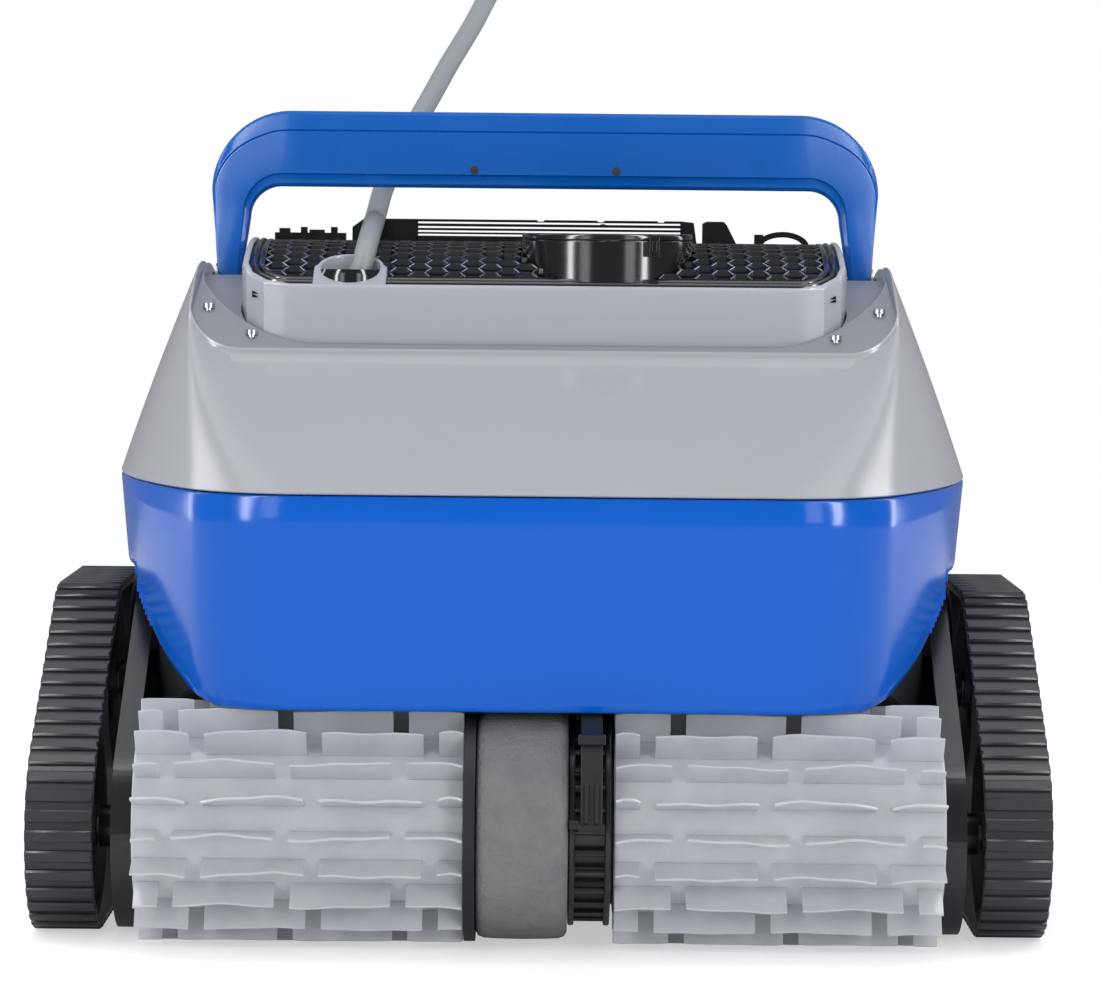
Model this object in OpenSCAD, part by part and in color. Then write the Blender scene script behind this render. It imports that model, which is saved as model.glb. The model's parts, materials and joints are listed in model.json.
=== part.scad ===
// Robotic pool cleaner on two tracks, with two scrubbing brushes, a swinging handle
// and a floating cable. X runs left to right, Y front to back and Z up. The origin is
// on the floor under the middle of the body, and the machine is alike front and back.

/* [Body] */
// Width of the body at its waist seam
body_w = 380; // [350:1:460]
// Depth of the body at its waist seam, front to back
body_d = 380; // [350:1:460]
// Height of the waist seam above the floor
waist_z = 191; // [184:1:230]
// Height of the lower shell's bottom edge above the floor
skirt_z = 101; // [92:1:104]
// Wall of the two outer shells
shell_wall = 3; // [2.5:0.1:3.6]
// Round of the body's corners, seen from above
corner_r = 55; // [46:1:66]
// Radius of the bowed sides, seen from above
side_bow_r = 330; // [300:1:400]

/* [Deck and turret] */
// Height of the deck's crest above the waist seam
crest_rise = 105; // [90:1:126]
// Radius of the deck's arch about the left-right axis
deck_arch_r = 158; // [132:1:190]
// Radius of the arch that the hood's rim and the ledge follow
shoulder_arch_r = 121; // [104:1:145]
// Half width of the hood's top opening
opening_half_w = 152; // [140:1:160]
// Half depth of the hood's top opening
opening_half_d = 84; // [80:1:90]
// Round of the opening's corners, seen from above
opening_r = 55; // [46:1:57]
// Half width of the turret
turret_half_w = 133; // [118:1:134]
// Half depth of the turret
turret_half_d = 79; // [76:1:79]
// Round of the turret's upright corners
turret_r = 22; // [18:1:26]
// Wall of the turret
turret_wall = 3; // [2.5:0.1:3.6]

/* [Outlet and cable] */
// Inner radius of the outlet's hose socket
socket_r = 35; // [29:0.5:36]
// Depth of the outlet's hose socket
socket_depth = 24; // [20:1:29]
// Wall of the outlet at its socket
outlet_wall = 3; // [2.5:0.1:3.6]
// Diameter of the floating cable
cable_d = 9.5; // [8:0.1:11.4]
// Inner radius of the cable well
well_r = 12.8; // [11:0.1:13]

/* [Tracks] */
// Width of a track belt
belt_w = 28.5; // [24:0.5:34]
// Outer radius of the belt where it turns round a wheel
belt_r = 44; // [36.5:0.5:46]
// Full thickness of the belt, ribs included
belt_t = 3.8; // [3.2:0.1:4.5]
// Height of the belt's cross ribs
rib_h = 1.6; // [1.3:0.1:1.9]
// Distance from one belt rib to the next
rib_pitch = 8.5; // [7:0.1:10.2]
// Radius of the idler axles
axle_r = 4; // [3.4:0.1:4.8]
// Radius of the drive shafts
drive_shaft_r = 5; // [4.2:0.1:6]

/* [Brushes] */
// Radius of a brush at the tips of its blades
brush_tip_r = 51; // [43:0.5:52]
// Radius of the sleeve that carries the blades
sleeve_r = 38; // [37:0.5:40]
// Radius of the roller inside the sleeves
roller_r = 34; // [30:0.5:34]
// Radius of the roller's journals
journal_r = 6; // [5:0.1:7.2]
// Number of blade rows round a brush
blade_rows = 20; // [16:1:24]

/* [Handle] */
// Height of the handle's top above its pivot
handle_rise = 76; // [70:1:91]
// Height of the grip bar, top to bottom
bar_h = 34; // [28:1:38]
// Depth of the grip bar, front to back
bar_d = 24; // [20:1:26]
// Width of a handle leg at its foot
leg_w = 8; // [7:0.5:9.5]
// Radius of the handle's pivot pins
pivot_r = 5; // [4.2:0.1:5.5]

/* [Fits] */
// Radial clearance of a shaft that turns in its bore
running_fit = 0.05; // [0.02:0.01:0.1]
// Gap between pieces that only lie beside each other
part_gap = 0.3; // [0.2:0.05:0.5]

/* [Hidden] */
$fn = 64;
eps = 0.01;

// Shells
skirt_inset_w = 8;                        // the sides lean in this far from waist to skirt
skirt_inset_d = 12;                       // and the front and back this far
crest_z = waist_z + crest_rise;
deck_axis_z = crest_z - deck_arch_r;
shoulder_axis_z = crest_z - 11 - shoulder_arch_r;
ledge_drop = 5;                           // the ledge lies this far below the hood's rim
shoulder_rim = 4;
ledge_t = 3;
ledge_pocket = 16;                        // room for a handle leg, each way from its pivot
leg_play = 3;                             // and outside it

// Tracks
belt_x = body_w / 2 - 3.5;                // inner face of a belt
wheel_r = belt_r - belt_t - 0.5;
wheel_w = belt_w - 4.5;
wheel_x = belt_x + 2.5;                   // inner face of a wheel
low_wheel = [body_d / 2 - 69, belt_r];    // place of the lower wheels, as Y and Z
top_wheel = [wheel_r + 1.3, belt_r + 54]; // place of the upper wheels
track_lean = atan2(top_wheel[1] - low_wheel[1], low_wheel[0] - top_wheel[0]);
track_slope = norm(top_wheel - low_wheel);
track_top_z = top_wheel[1] + belt_r;
plate_x = belt_x - 16.5;                  // inner face of a side plate
plate_w = 9;
plate_web = 3;
boss_end_x = wheel_x - 1.5;

// Brushes
brush_y = body_d / 2 - 40;
brush_z = brush_tip_r + 0.5;
brush_end_x = plate_x - 2;
bay_r = brush_tip_r + 4;
bay_inner_y = brush_y - bay_r;
blade_t = 1.6;
drum_r = brush_tip_r - 2;
drum_x = [-26, 12];                       // the soft drum's two ends
ring_x = [12.3, 29.7];                    // the drive ring's two ends
sleeve_gap_x = 31;                        // the sleeves' inner ends
ring_pitch_r = 40;
ring_rungs = 28;
pinion_teeth = 12;
rung_r = 1.5;
ring_flange_t = 2.5;
ring_flange_r = 43;
pinion_pitch_r = ring_pitch_r * pinion_teeth / ring_rungs;
pinion_lean = 35;                         // from the brush's axis up to the pinion's
pinion_reach = ring_pitch_r + pinion_pitch_r;
pinion_y = brush_y - pinion_reach * cos(pinion_lean);
pinion_z = brush_z + pinion_reach * sin(pinion_lean);
pinion_shaft_r = 3;
gear_house_r = pinion_pitch_r + 5;
gear_house_x = [8, 34];

// Chassis
tub_half_w = plate_x - 4;
tub_half_d = body_d / 2 - 17;
tub_wall = 3;
tub_floor_z = 24;
tub_top_z = waist_z - 5;
mouth_x = [60, 136];                      // the intake mouths' two ends
mouth_half_d = 8;
flap_axis = [-13, tub_floor_z + tub_wall + 2.3];
flap_pin_r = 1.4;
flap_lug = [5, 8, 9];
gearbox = [42, 50, 50];
basket = [2 * tub_half_w - 108, bay_inner_y - 25, 112];
basket_wall = 2;
basket_z = 50;
basket_slot = 14;
float_half_w = 116;

// Outlet, pump and cable well
outlet = [28, -35];
outlet_top_z = crest_z + 3;
outlet_r = socket_r + outlet_wall;
duct_r = socket_r - 1;
duct_z = outlet_top_z - 64;
motor_r = 30;
motor_top_z = duct_z - 10;
motor_h = 115;
pump_shaft_r = 4;
well = [-85, -61];
well_floor_z = crest_z - 49;
gland_top_z = well_floor_z + 21;

// Rear fittings on the deck
louvre_y = 44;
louvre_d = 6;
louvre_top_z = crest_z + 9;
slot_zs = [7.4, 5.3, 3.4, 1.7];           // slot centres above the crest
slot_h = 1.1;
louvre_x = [-90, 65];                     // the louvre block's two ends
louvre_side_x = [73, 93];                 // the small block beside it
slot_x = [-59, 63];
latch_x = [[-126, -92], [97, 125]];
latch_h = 5;

// Handle
pivot_z = crest_z - 19;
handle_top_z = pivot_z + handle_rise;
handle_half_w = opening_half_w - 1;
leg_x = turret_half_w + 6;                // inner face of a leg at its foot
leg_foot_r = 9;
grip_r = 14;                              // round of the opening's upper corners
pivot_head_r = pivot_r + 2;
handle_seam_z = handle_top_z - 9;

// Fasteners
plate_screws = [[-78, 58], [0, 58], [78, 58], [0, track_top_z - 17]];
ledge_screw_places = [[opening_half_w - 5, opening_half_d - 19],
    [opening_half_w - 25, opening_half_d - 4]];

// Cable: points that its free stretches pass through, placed by hand. They follow the deck's
// crest and the body's rear when those are moved.
cable_points = [[-85, -61, 270], [-82.6, -60.6, 277], [-80.2, -58.5, 283.7], [-78.9, -54, 290],
    [-78.1, -47, 294.3], [-77.5, -35, 298.4], [-77.3, -20, 301.2], [-77.4, -2, 303.4],
    [-77.8, 14, 304.6], [-77.7, 25, 306.5], [-76.9, 33.5, 311], [-75.2, 40, 318.2],
    [-71.4, 45.5, 327.5], [-66.7, 51.5, 337.5], [-62.1, 59, 347.5], [-56.8, 68, 357.7],
    [-51.5, 78, 368], [-46.6, 89, 378], [-41.2, 102, 388], [-36, 117, 398],
    [-31.9, 132, 407], [-29.3, 146, 413.5], [-28, 161, 416.5], [-30.6, 176, 413.5],
    [-36.1, 187, 404], [-44.7, 197, 390], [-54.8, 206, 373], [-65.3, 213.5, 355],
    [-75.2, 220, 336], [-83.4, 226, 318], [-87.7, 230, 303], [-92, 233, 280],
    [-96, 235, 245], [-99, 236, 200], [-101, 237, 155], [-102, 238, 110],
    [-103, 240, 72], [-104, 246, 42], [-105, 260, 18], [-106, 284, 7],
    [-106, 310, 4.8], [-106, 335, 4.8], [-106, 360, 4.8]];
tail_points = [[126, 360, 34], [126.5, 345, 33.5], [129, 328, 30], [132, 310, 21],
    [134, 294, 13], [135, 280, 11]];
crest_shift = crest_z - 296;
rear_shift = body_d / 2 - 190;
coil_centre = [10, 360 + rear_shift];
coil_r_out = 116;                         // centre line of the outermost turn
coil_r_in = 53;                           // centre line of the innermost turn
coil_h = 38.5;
connector_r = 11;
connector_neck = [7, 14];                 // radius and length
connector_cap = [9, 12];
connector_len = 62;

// Helpers

function heading(a) = [cos(a), sin(a)];

// Legs of the track's loop, as the wheel it starts from, its heading, its length, the wheel
// that it ends at and the turn there
track_legs = let (w1 = [-low_wheel[0], low_wheel[1]], w2 = low_wheel, w3 = top_wheel,
    w4 = [-top_wheel[0], top_wheel[1]])
    [[w1, 0, 2 * low_wheel[0], w2, 180 - track_lean],
    [w2, 180 - track_lean, track_slope, w3, track_lean],
    [w3, 180, 2 * top_wheel[0], w4, track_lean],
    [w4, 180 + track_lean, track_slope, w1, 180 - track_lean]];

// Point on the track's loop, s along it and r outside the wheels' centres
function track_point(s, r, k = 0) =
    let (leg = track_legs[k], arc = leg[4] * PI / 180 * belt_r)
    s <= leg[2] ? leg[0] + s * heading(leg[1]) + r * heading(leg[1] - 90)
    : s <= leg[2] + arc
        ? leg[3] + r * heading(leg[1] - 90 + (s - leg[2]) / belt_r * 180 / PI)
        : track_point(s - leg[2] - arc, r, k + 1);

// Extrudes a Y-Z profile from x0 to x1
module along_x(x0, x1) {
    translate([x0, 0, 0]) rotate([90, 0, 90]) linear_extrude(x1 - x0) children();
}

// Extrudes an X-Z profile from y0 to y1
module along_y(y0, y1) {
    translate([0, y1, 0]) rotate([90, 0, 0]) linear_extrude(y1 - y0) children();
}

// Round bar along X with its axis at y, z
module bar_x(r, x0, x1, y, z) {
    translate([x0, y, z]) rotate([0, 90, 0]) cylinder(r = r, h = x1 - x0);
}

module both_sides() {
    children();
    mirror([1, 0, 0]) children();
}

module both_ends() {
    children();
    mirror([0, 1, 0]) children();
}

// Rectangle with round corners
module round_rect(half_w, half_d, r) {
    square([2 * half_w - 2 * r, 2 * half_d], center = true);
    square([2 * half_w, 2 * half_d - 2 * r], center = true);
    for (x = [-1, 1], y = [-1, 1])
        translate([x * (half_w - r), y * (half_d - r)]) circle(r);
}

// Plan of the body: bowed sides, straight front and back, round corners
module body_plan(half_w, half_d, r) {
    offset(r = r) offset(delta = -r) intersection_for(x = [-1, 1])
        intersection() {
            translate([x * (half_w - side_bow_r), 0]) circle(side_bow_r, $fn = 180);
            square([2 * half_w, 2 * half_d], center = true);
        }
}

// Side view of the track: a loop round four wheels
module track_outline(r) {
    hull() for (y = [-1, 1], w = [low_wheel, top_wheel])
        translate([y * w[0], w[1]]) circle(r, $fn = 96);
}

// Round bar that gives the deck its arch, cut back by inset
module deck_arch(inset) {
    bar_x(deck_arch_r - inset, -body_w / 2, body_w / 2, 0, deck_axis_z, $fn = 128);
}

// Round bar that gives the hood's rim and the ledge their arch
module shoulder_arch(inset, drop) {
    bar_x(shoulder_arch_r - inset, -body_w / 2, body_w / 2, 0, shoulder_axis_z - drop,
        $fn = 96);
}

// Brush bay under the body's end
module bay(r, inner_y, floor_z) {
    both_ends() {
        bar_x(r, -body_w / 2, body_w / 2, brush_y, brush_z);
        translate([-body_w / 2, inner_y, floor_z - 60])
            cube([body_w, body_d, brush_z - floor_z + 60]);
    }
}

// Shells

module shell_solid(inset, top_z) {
    hull() {
        translate([0, 0, top_z - eps]) linear_extrude(eps)
            body_plan(body_w / 2 - inset, body_d / 2 - inset, corner_r - inset);
        translate([0, 0, skirt_z]) linear_extrude(eps)
            body_plan(body_w / 2 - skirt_inset_w - inset, body_d / 2 - skirt_inset_d - inset,
                corner_r - inset);
    }
}

// Side edge of the lower shell: low at the two ends, lifted over the tracks in a soft curve
module skirt_lift() {
    low_y = body_d / 2 - 27;
    edge = [[low_y, skirt_z], [low_y - 41, skirt_z + 16], [low_y - 81, skirt_z + 38],
        [low_y - 87, track_top_z + 10]];
    along_x(-body_w, body_w) polygon(concat([[low_y, skirt_z - 10]], edge,
        [for (k = [len(edge) - 1:-1:0]) [-edge[k][0], edge[k][1]]], [[-low_y, skirt_z - 10]]));
}

module lower_shell() {
    color("#0068d0") difference() {
        shell_solid(0, waist_z);
        shell_solid(shell_wall, waist_z + eps);
        translate([0, 0, skirt_z - 1]) linear_extrude(2)
            body_plan(body_w / 2 - skirt_inset_w - shell_wall,
                body_d / 2 - skirt_inset_d - shell_wall, corner_r - shell_wall);
        skirt_lift();
    }
}

// Hood: from the waist up to the arched rim of the opening
module hood_solid(inset) {
    hull() {
        translate([0, 0, waist_z]) linear_extrude(eps)
            body_plan(body_w / 2 - inset, body_d / 2 - inset, corner_r - inset);
        intersection() {
            translate([0, 0, waist_z]) linear_extrude(crest_rise)
                round_rect(opening_half_w + shoulder_rim - inset / 2,
                    opening_half_d + shoulder_rim - inset / 2, turret_r + 2, $fn = 32);
            shoulder_arch(inset, 0);
        }
    }
}

module upper_shell() {
    color("#b9bdc6") difference() {
        hood_solid(0);
        translate([0, 0, -eps]) hood_solid(shell_wall);
        translate([0, 0, waist_z]) linear_extrude(crest_rise)
            round_rect(opening_half_w, opening_half_d, opening_r);
        ledge_screw_shanks();
    }
}

module turret() {
    color("#c4c7cf") difference() {
        intersection() {
            translate([0, 0, crest_z - 71]) linear_extrude(71)
                round_rect(turret_half_w, turret_half_d, turret_r);
            deck_arch(0);
        }
        translate([0, 0, crest_z - 72]) linear_extrude(73)
            round_rect(turret_half_w - turret_wall, turret_half_d - turret_wall,
                turret_r - turret_wall);
        both_sides() bar_x(pivot_r, turret_half_w - 5, turret_half_w + 1, 0, pivot_z);
    }
}

module ledge_ring() {
    color("#959aa4") difference() {
        intersection() {
            translate([0, 0, waist_z]) linear_extrude(crest_rise)
                round_rect(opening_half_w - part_gap, opening_half_d - part_gap, turret_r);
            shoulder_arch(0, ledge_drop);
        }
        shoulder_arch(ledge_t, ledge_drop);
        translate([0, 0, waist_z - 1]) linear_extrude(crest_rise)
            round_rect(turret_half_w + part_gap, turret_half_d + part_gap, turret_r);
        both_sides() translate([turret_half_w, -ledge_pocket, waist_z])
            cube([leg_x + leg_w + leg_play - turret_half_w, 2 * ledge_pocket, crest_rise]);
        ledge_screw_shanks();
    }
}

// Height of the hood's rim at depth y
function shoulder_z(y) = shoulder_axis_z + sqrt(shoulder_arch_r * shoulder_arch_r - y * y);

module ledge_screw_shanks() {
    both_ends() both_sides() for (p = ledge_screw_places)
        translate([p[0], p[1], shoulder_z(p[1]) - 14]) cylinder(r = 1.5, h = 15);
}

// Screws through the hood's rim into the ledge below it
module ledge_screws() {
    color("#8a8e95") {
        ledge_screw_shanks();
        both_ends() both_sides() for (p = ledge_screw_places)
            translate([p[0], p[1], shoulder_z(p[1]) - 1]) cylinder(r = 2.6, h = 2);
    }
}

// Deck

module deck_cuts() {
    translate([outlet[0], outlet[1], waist_z]) cylinder(r = outlet_r + part_gap, h = 150);
    translate([well[0], well[1], waist_z]) cylinder(r = well_r + 2, h = 150);
}

module deck_band(half_w, half_d, r, thick) {
    difference() {
        intersection() {
            translate([0, 0, waist_z]) linear_extrude(crest_rise)
                round_rect(half_w, half_d, r);
            deck_arch(1);
        }
        deck_arch(1 + thick);
        deck_cuts();
    }
}

module deck_grille() {
    color("#23262b") deck_band(turret_half_w - turret_wall - 6, turret_half_d - turret_wall - 6,
        turret_r - turret_wall - 5, 3);
}

module grille_rim() {
    color("#2b2e34") difference() {
        deck_band(turret_half_w - turret_wall, turret_half_d - turret_wall,
            turret_r - turret_wall, 4);
        translate([0, 0, waist_z - 1]) linear_extrude(crest_rise + 5)
            round_rect(turret_half_w - turret_wall - 6, turret_half_d - turret_wall - 6,
                turret_r - turret_wall - 5);
    }
}

module outlet_nozzle() {
    color("#202226") translate([outlet[0], outlet[1], 0]) difference() {
        translate([0, 0, duct_z]) cylinder(r = outlet_r, h = outlet_top_z - duct_z);
        translate([0, 0, duct_z - 1]) cylinder(r = duct_r, h = outlet_top_z - duct_z);
        translate([0, 0, outlet_top_z - socket_depth])
            cylinder(r = socket_r, h = socket_depth + 1);
    }
}

// The well's mouth is cut along the deck
module cable_well() {
    depth = crest_z - well_floor_z;
    color("#26292e") difference() {
        intersection() {
            translate([well[0], well[1], well_floor_z]) cylinder(r = well_r + 2, h = depth);
            deck_arch(0.5);
        }
        translate([well[0], well[1], well_floor_z + 3]) cylinder(r = well_r, h = depth);
        translate([well[0], well[1], well_floor_z - 1]) cylinder(r = cable_d / 2, h = 5);
    }
}

module cable_gland() {
    nut_h = 10;
    color("#1d1f22") translate([well[0], well[1], well_floor_z + 3]) difference() {
        union() {
            cylinder(r = 9.5, h = nut_h, $fn = 6);
            cylinder(r = 7, h = gland_top_z - well_floor_z - 3);
        }
        translate([0, 0, -1]) cylinder(r = cable_d / 2, h = gland_top_z - well_floor_z);
    }
}

// Rear fittings stand on the deck behind its crest
module on_deck(y0, y1, top_z) {
    difference() {
        translate([0, y0, crest_z - 30]) linear_extrude(top_z - crest_z + 30) children();
        deck_arch(1);
    }
}

module rear_louvre() {
    color("#22252a") difference() {
        on_deck(louvre_y, louvre_y + louvre_d, louvre_top_z) union() {
            for (x = [louvre_x, louvre_side_x])
                translate([x[0], 0]) square([x[1] - x[0], louvre_d]);
        }
        for (dz = slot_zs) translate([slot_x[0], louvre_y - 1, crest_z + dz - slot_h / 2])
            cube([slot_x[1] - slot_x[0], louvre_d + 2, slot_h]);
    }
}

module rear_latches() {
    color("#26292e") on_deck(louvre_y, louvre_y + louvre_d, crest_z + latch_h)
        for (x = latch_x) translate([x[0], 0]) square([x[1] - x[0], louvre_d]);
}

// Chassis

module tub_plan(inset) {
    intersection() {
        body_plan(body_w / 2 - 12 - inset, tub_half_d - inset, corner_r - 8 - inset);
        square([2 * tub_half_w - 2 * inset, body_d], center = true);
    }
}

module gear_house(r, x0, x1) {
    both_ends() bar_x(r, x0, x1, -pinion_y, pinion_z);
}

module drive_holes(r) {
    both_sides() bar_x(r, plate_x - 12, boss_end_x + 1, top_wheel[0], top_wheel[1]);
}

module plate_screw_holes(r) {
    both_sides() for (p = plate_screws) bar_x(r, tub_half_w - 8, plate_x + plate_web + 1,
        p[0], p[1]);
}

// Brackets that hold an intake flap's pins
module flap_lugs() {
    both_sides() for (x = [mouth_x[0] - 4 - flap_lug[0], mouth_x[1] + 4])
        translate([x, flap_axis[0] - flap_lug[1] / 2, tub_floor_z + eps]) cube(flap_lug);
}

module chassis_tub() {
    color("#1c1e22") difference() {
        union() {
            difference() {
                translate([0, 0, tub_floor_z]) linear_extrude(tub_top_z - tub_floor_z)
                    tub_plan(0);
                difference() {
                    translate([0, 0, tub_floor_z + tub_wall]) linear_extrude(tub_top_z)
                        tub_plan(tub_wall);
                    bay(bay_r + tub_wall, bay_inner_y - tub_wall, tub_floor_z);
                }
            }
            gear_house(gear_house_r + 3, gear_house_x[0] - 3, gear_house_x[1] + 3);
            flap_lugs();
        }
        bay(bay_r, bay_inner_y, tub_floor_z - 10);
        gear_house(gear_house_r, gear_house_x[0], gear_house_x[1]);
        gear_house(pinion_shaft_r + running_fit, gear_house_x[0] - 4, gear_house_x[1] + 4);
        drive_holes(drive_shaft_r + running_fit);
        plate_screw_holes(2.4);
        both_sides() {
            translate([mouth_x[0], -mouth_half_d, tub_floor_z - 1])
                cube([mouth_x[1] - mouth_x[0], 2 * mouth_half_d, tub_wall + 2]);
            bar_x(flap_pin_r + running_fit, mouth_x[0] - 7, mouth_x[1] + 7,
                flap_axis[0], flap_axis[1]);
        }
    }
}

module bottom_plate() {
    color("#24272c") difference() {
        translate([-tub_half_w + 8, -bay_inner_y + 6, tub_floor_z - 3])
            cube([2 * tub_half_w - 16, 2 * bay_inner_y - 12, 3]);
        both_sides() translate([mouth_x[0], -mouth_half_d, tub_floor_z - 4])
            cube([mouth_x[1] - mouth_x[0], 2 * mouth_half_d, 5]);
    }
}

module intake_flap() {
    color("#3a3d42") union() {
        translate([mouth_x[0] - 3, flap_axis[0], flap_axis[1] - 2])
            cube([mouth_x[1] - mouth_x[0] + 6, mouth_half_d - flap_axis[0] + 3, 2]);
        bar_x(2, mouth_x[0] - 3, mouth_x[1] + 3, flap_axis[0], flap_axis[1]);
        bar_x(flap_pin_r, mouth_x[0] - 6.5, mouth_x[1] + 6.5, flap_axis[0], flap_axis[1]);
    }
}

module filter_basket() {
    wall = basket_wall;
    color("#dfe2e4") translate([-basket[0] / 2, 4, basket_z]) difference() {
        cube(basket);
        translate([wall, wall, wall]) cube(basket - [2 * wall, 2 * wall, 0]);
        for (x = [basket_slot:2 * basket_slot:basket[0] - basket_slot - 6])
            translate([x, 12, -1]) cube([basket_slot, basket[1] - 24, wall + 2]);
    }
}

module float_blocks() {
    block_y = brush_y - 32;
    block_z = brush_z + bay_r + 7;
    color("#e8e8e2") both_ends() translate([-float_half_w, block_y, block_z])
        cube([2 * float_half_w, tub_half_d - 13 - block_y, tub_top_z - 2 - block_z]);
}

module pump_motor() {
    color("#3b4046") translate([outlet[0], outlet[1], 0]) difference() {
        union() {
            translate([0, 0, motor_top_z - motor_h]) cylinder(r = motor_r, h = motor_h);
            translate([0, 0, tub_floor_z + tub_wall])
                cylinder(r = 21, h = motor_top_z - motor_h - tub_floor_z - tub_wall);
        }
        translate([0, 0, motor_top_z - 12]) cylinder(r = pump_shaft_r + running_fit, h = 13);
    }
}

module impeller() {
    shaft_z = motor_top_z - 11;
    hub_z = duct_z + 1;
    color("#d8dadd") translate([outlet[0], outlet[1], 0]) {
        translate([0, 0, shaft_z]) cylinder(r = pump_shaft_r, h = hub_z + 20 - shaft_z);
        translate([0, 0, hub_z]) cylinder(r = 9, h = 18);
        for (a = [0:60:300]) rotate([0, 0, a]) translate([5, 0, hub_z + 9]) rotate([38, 0, 0])
            translate([0, -1, -7]) cube([duct_r - 7, 2, 14]);
    }
}

module drive_gearbox() {
    color("#3b4046") difference() {
        translate([tub_half_w - tub_wall - 3 - gearbox[0], top_wheel[0] - gearbox[1] / 2,
            top_wheel[1] - gearbox[2] / 2]) cube(gearbox);
        drive_holes(drive_shaft_r + running_fit);
    }
}

// Tracks

module track_belt() {
    loop = 2 * low_wheel[0] + 2 * top_wheel[0] + 2 * track_slope + 2 * PI * belt_r;
    ribs = round(loop / rib_pitch);
    pitch = loop / ribs;
    half_rib = pitch * 0.3;
    start = low_wheel[0];
    outer = [for (i = [0:ribs - 1]) for (k = [[-1, 0], [-1, 1], [1, 1], [1, 0]])
        track_point((start + i * pitch + k[0] * half_rib + loop) % loop,
            belt_r - rib_h * (1 - k[1]))];
    color("#2a2d33") difference() {
        along_x(belt_x, belt_x + belt_w) polygon(outer);
        along_x(belt_x - 1, belt_x + belt_w + 1) track_outline(belt_r - belt_t);
    }
}

module side_plate() {
    color("#25282d") difference() {
        union() {
            along_x(plate_x, plate_x + plate_web) track_outline(belt_r - 1);
            difference() {
                along_x(plate_x, plate_x + plate_w) track_outline(belt_r - 1);
                along_x(plate_x, plate_x + plate_w + 1) track_outline(belt_r - 4);
            }
            for (y = [-1, 1], w = [low_wheel, top_wheel])
                bar_x(9, plate_x, boss_end_x, y * w[0], w[1]);
            for (y = [-1, 1]) bar_x(13, plate_x, plate_x + plate_w - 1, y * brush_y, brush_z);
            for (p = plate_screws) bar_x(7, tub_half_w, plate_x + 1, p[0], p[1]);
        }
        drive_holes(drive_shaft_r + running_fit);
        for (y = [-low_wheel[0], low_wheel[0]])
            bar_x(axle_r, plate_x - 1, boss_end_x + 1, y, low_wheel[1]);
        bar_x(axle_r, plate_x - 1, boss_end_x + 1, -top_wheel[0], top_wheel[1]);
        for (y = [-1, 1]) bar_x(journal_r + 3, plate_x - 1, plate_x + plate_w, y * brush_y, brush_z);
        plate_screw_holes(2.4);
    }
}

module side_plate_screws() {
    color("#9aa0a6") both_sides() for (p = plate_screws) {
        bar_x(2.4, tub_half_w - 7, plate_x + plate_web, p[0], p[1]);
        bar_x(4.5, plate_x + plate_web, plate_x + plate_web + 2.5, p[0], p[1]);
    }
}

module brush_bushes() {
    color("#d6d3c8") both_sides() both_ends() difference() {
        bar_x(journal_r + 3, plate_x, plate_x + plate_w - 1, brush_y, brush_z);
        bar_x(journal_r + running_fit, plate_x - 1, plate_x + plate_w, brush_y, brush_z);
    }
}

module idler_axles() {
    color("#9aa0a6") both_sides() for (p = [[-low_wheel[0], low_wheel[1]], low_wheel,
        [-top_wheel[0], top_wheel[1]]]) {
        bar_x(axle_r, plate_x, wheel_x + wheel_w + part_gap, p[0], p[1]);
        bar_x(axle_r + 3, wheel_x + wheel_w + part_gap, wheel_x + wheel_w + 1.8, p[0], p[1]);
    }
}

// Wheel with its centre at y, z and a bore of radius bore_r
module track_wheel(y, z, bore_r) {
    x1 = wheel_x + wheel_w;
    color("#4a4e55") difference() {
        union() {
            difference() {
                bar_x(wheel_r, wheel_x, x1, y, z);
                bar_x(wheel_r - 4, wheel_x - 1, x1 - 14, y, z);
                bar_x(wheel_r - 4, x1 - 10, x1 + 1, y, z);
            }
            bar_x(bore_r + 5, wheel_x, x1, y, z);
        }
        for (a = [0:60:300]) bar_x(7, wheel_x, x1, y + 23 * cos(a), z + 23 * sin(a));
        bar_x(bore_r, wheel_x - 1, x1 + 1, y, z);
    }
}

module drive_shaft() {
    color("#9aa0a6") bar_x(drive_shaft_r, plate_x - 11, wheel_x + wheel_w + 1.5,
        top_wheel[0], top_wheel[1]);
}

// Brushes, modelled at the front and mirrored to the back

module brush_shaft() {
    pocket_depth = brush_end_x - 60;
    color("#1f2226") {
        difference() {
            bar_x(roller_r, -brush_end_x, brush_end_x, -brush_y, brush_z);
            both_sides() difference() {
                bar_x(roller_r - 4, brush_end_x - pocket_depth, brush_end_x + 1, -brush_y, brush_z);
                bar_x(journal_r + 5, brush_end_x - pocket_depth - 1, brush_end_x + 2,
                    -brush_y, brush_z);
            }
        }
        bar_x(journal_r, -plate_x - plate_w + 1, plate_x + plate_w - 1, -brush_y, brush_z);
        bar_x(drum_r + 1, -sleeve_gap_x, drum_x[0] - part_gap, -brush_y, brush_z);
    }
}

module brush_sleeve(x0, x1) {
    color("#d5d7db") translate([0, -brush_y, brush_z]) difference() {
        along_x(x0, x1) {
            circle(sleeve_r);
            for (i = [0:blade_rows - 1]) rotate(i * 360 / blade_rows)
                translate([sleeve_r - 1, -blade_t / 2])
                    square([brush_tip_r - sleeve_r + 1, blade_t]);
        }
        bar_x(roller_r, x0 - 1, x1 + 1, 0, 0);
    }
}

module brush_drum() {
    color("#85878a") translate([0, -brush_y, brush_z]) difference() {
        bar_x(drum_r, drum_x[0], drum_x[1], 0, 0);
        bar_x(roller_r, drum_x[0] - 1, drum_x[1] + 1, 0, 0);
    }
}

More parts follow.
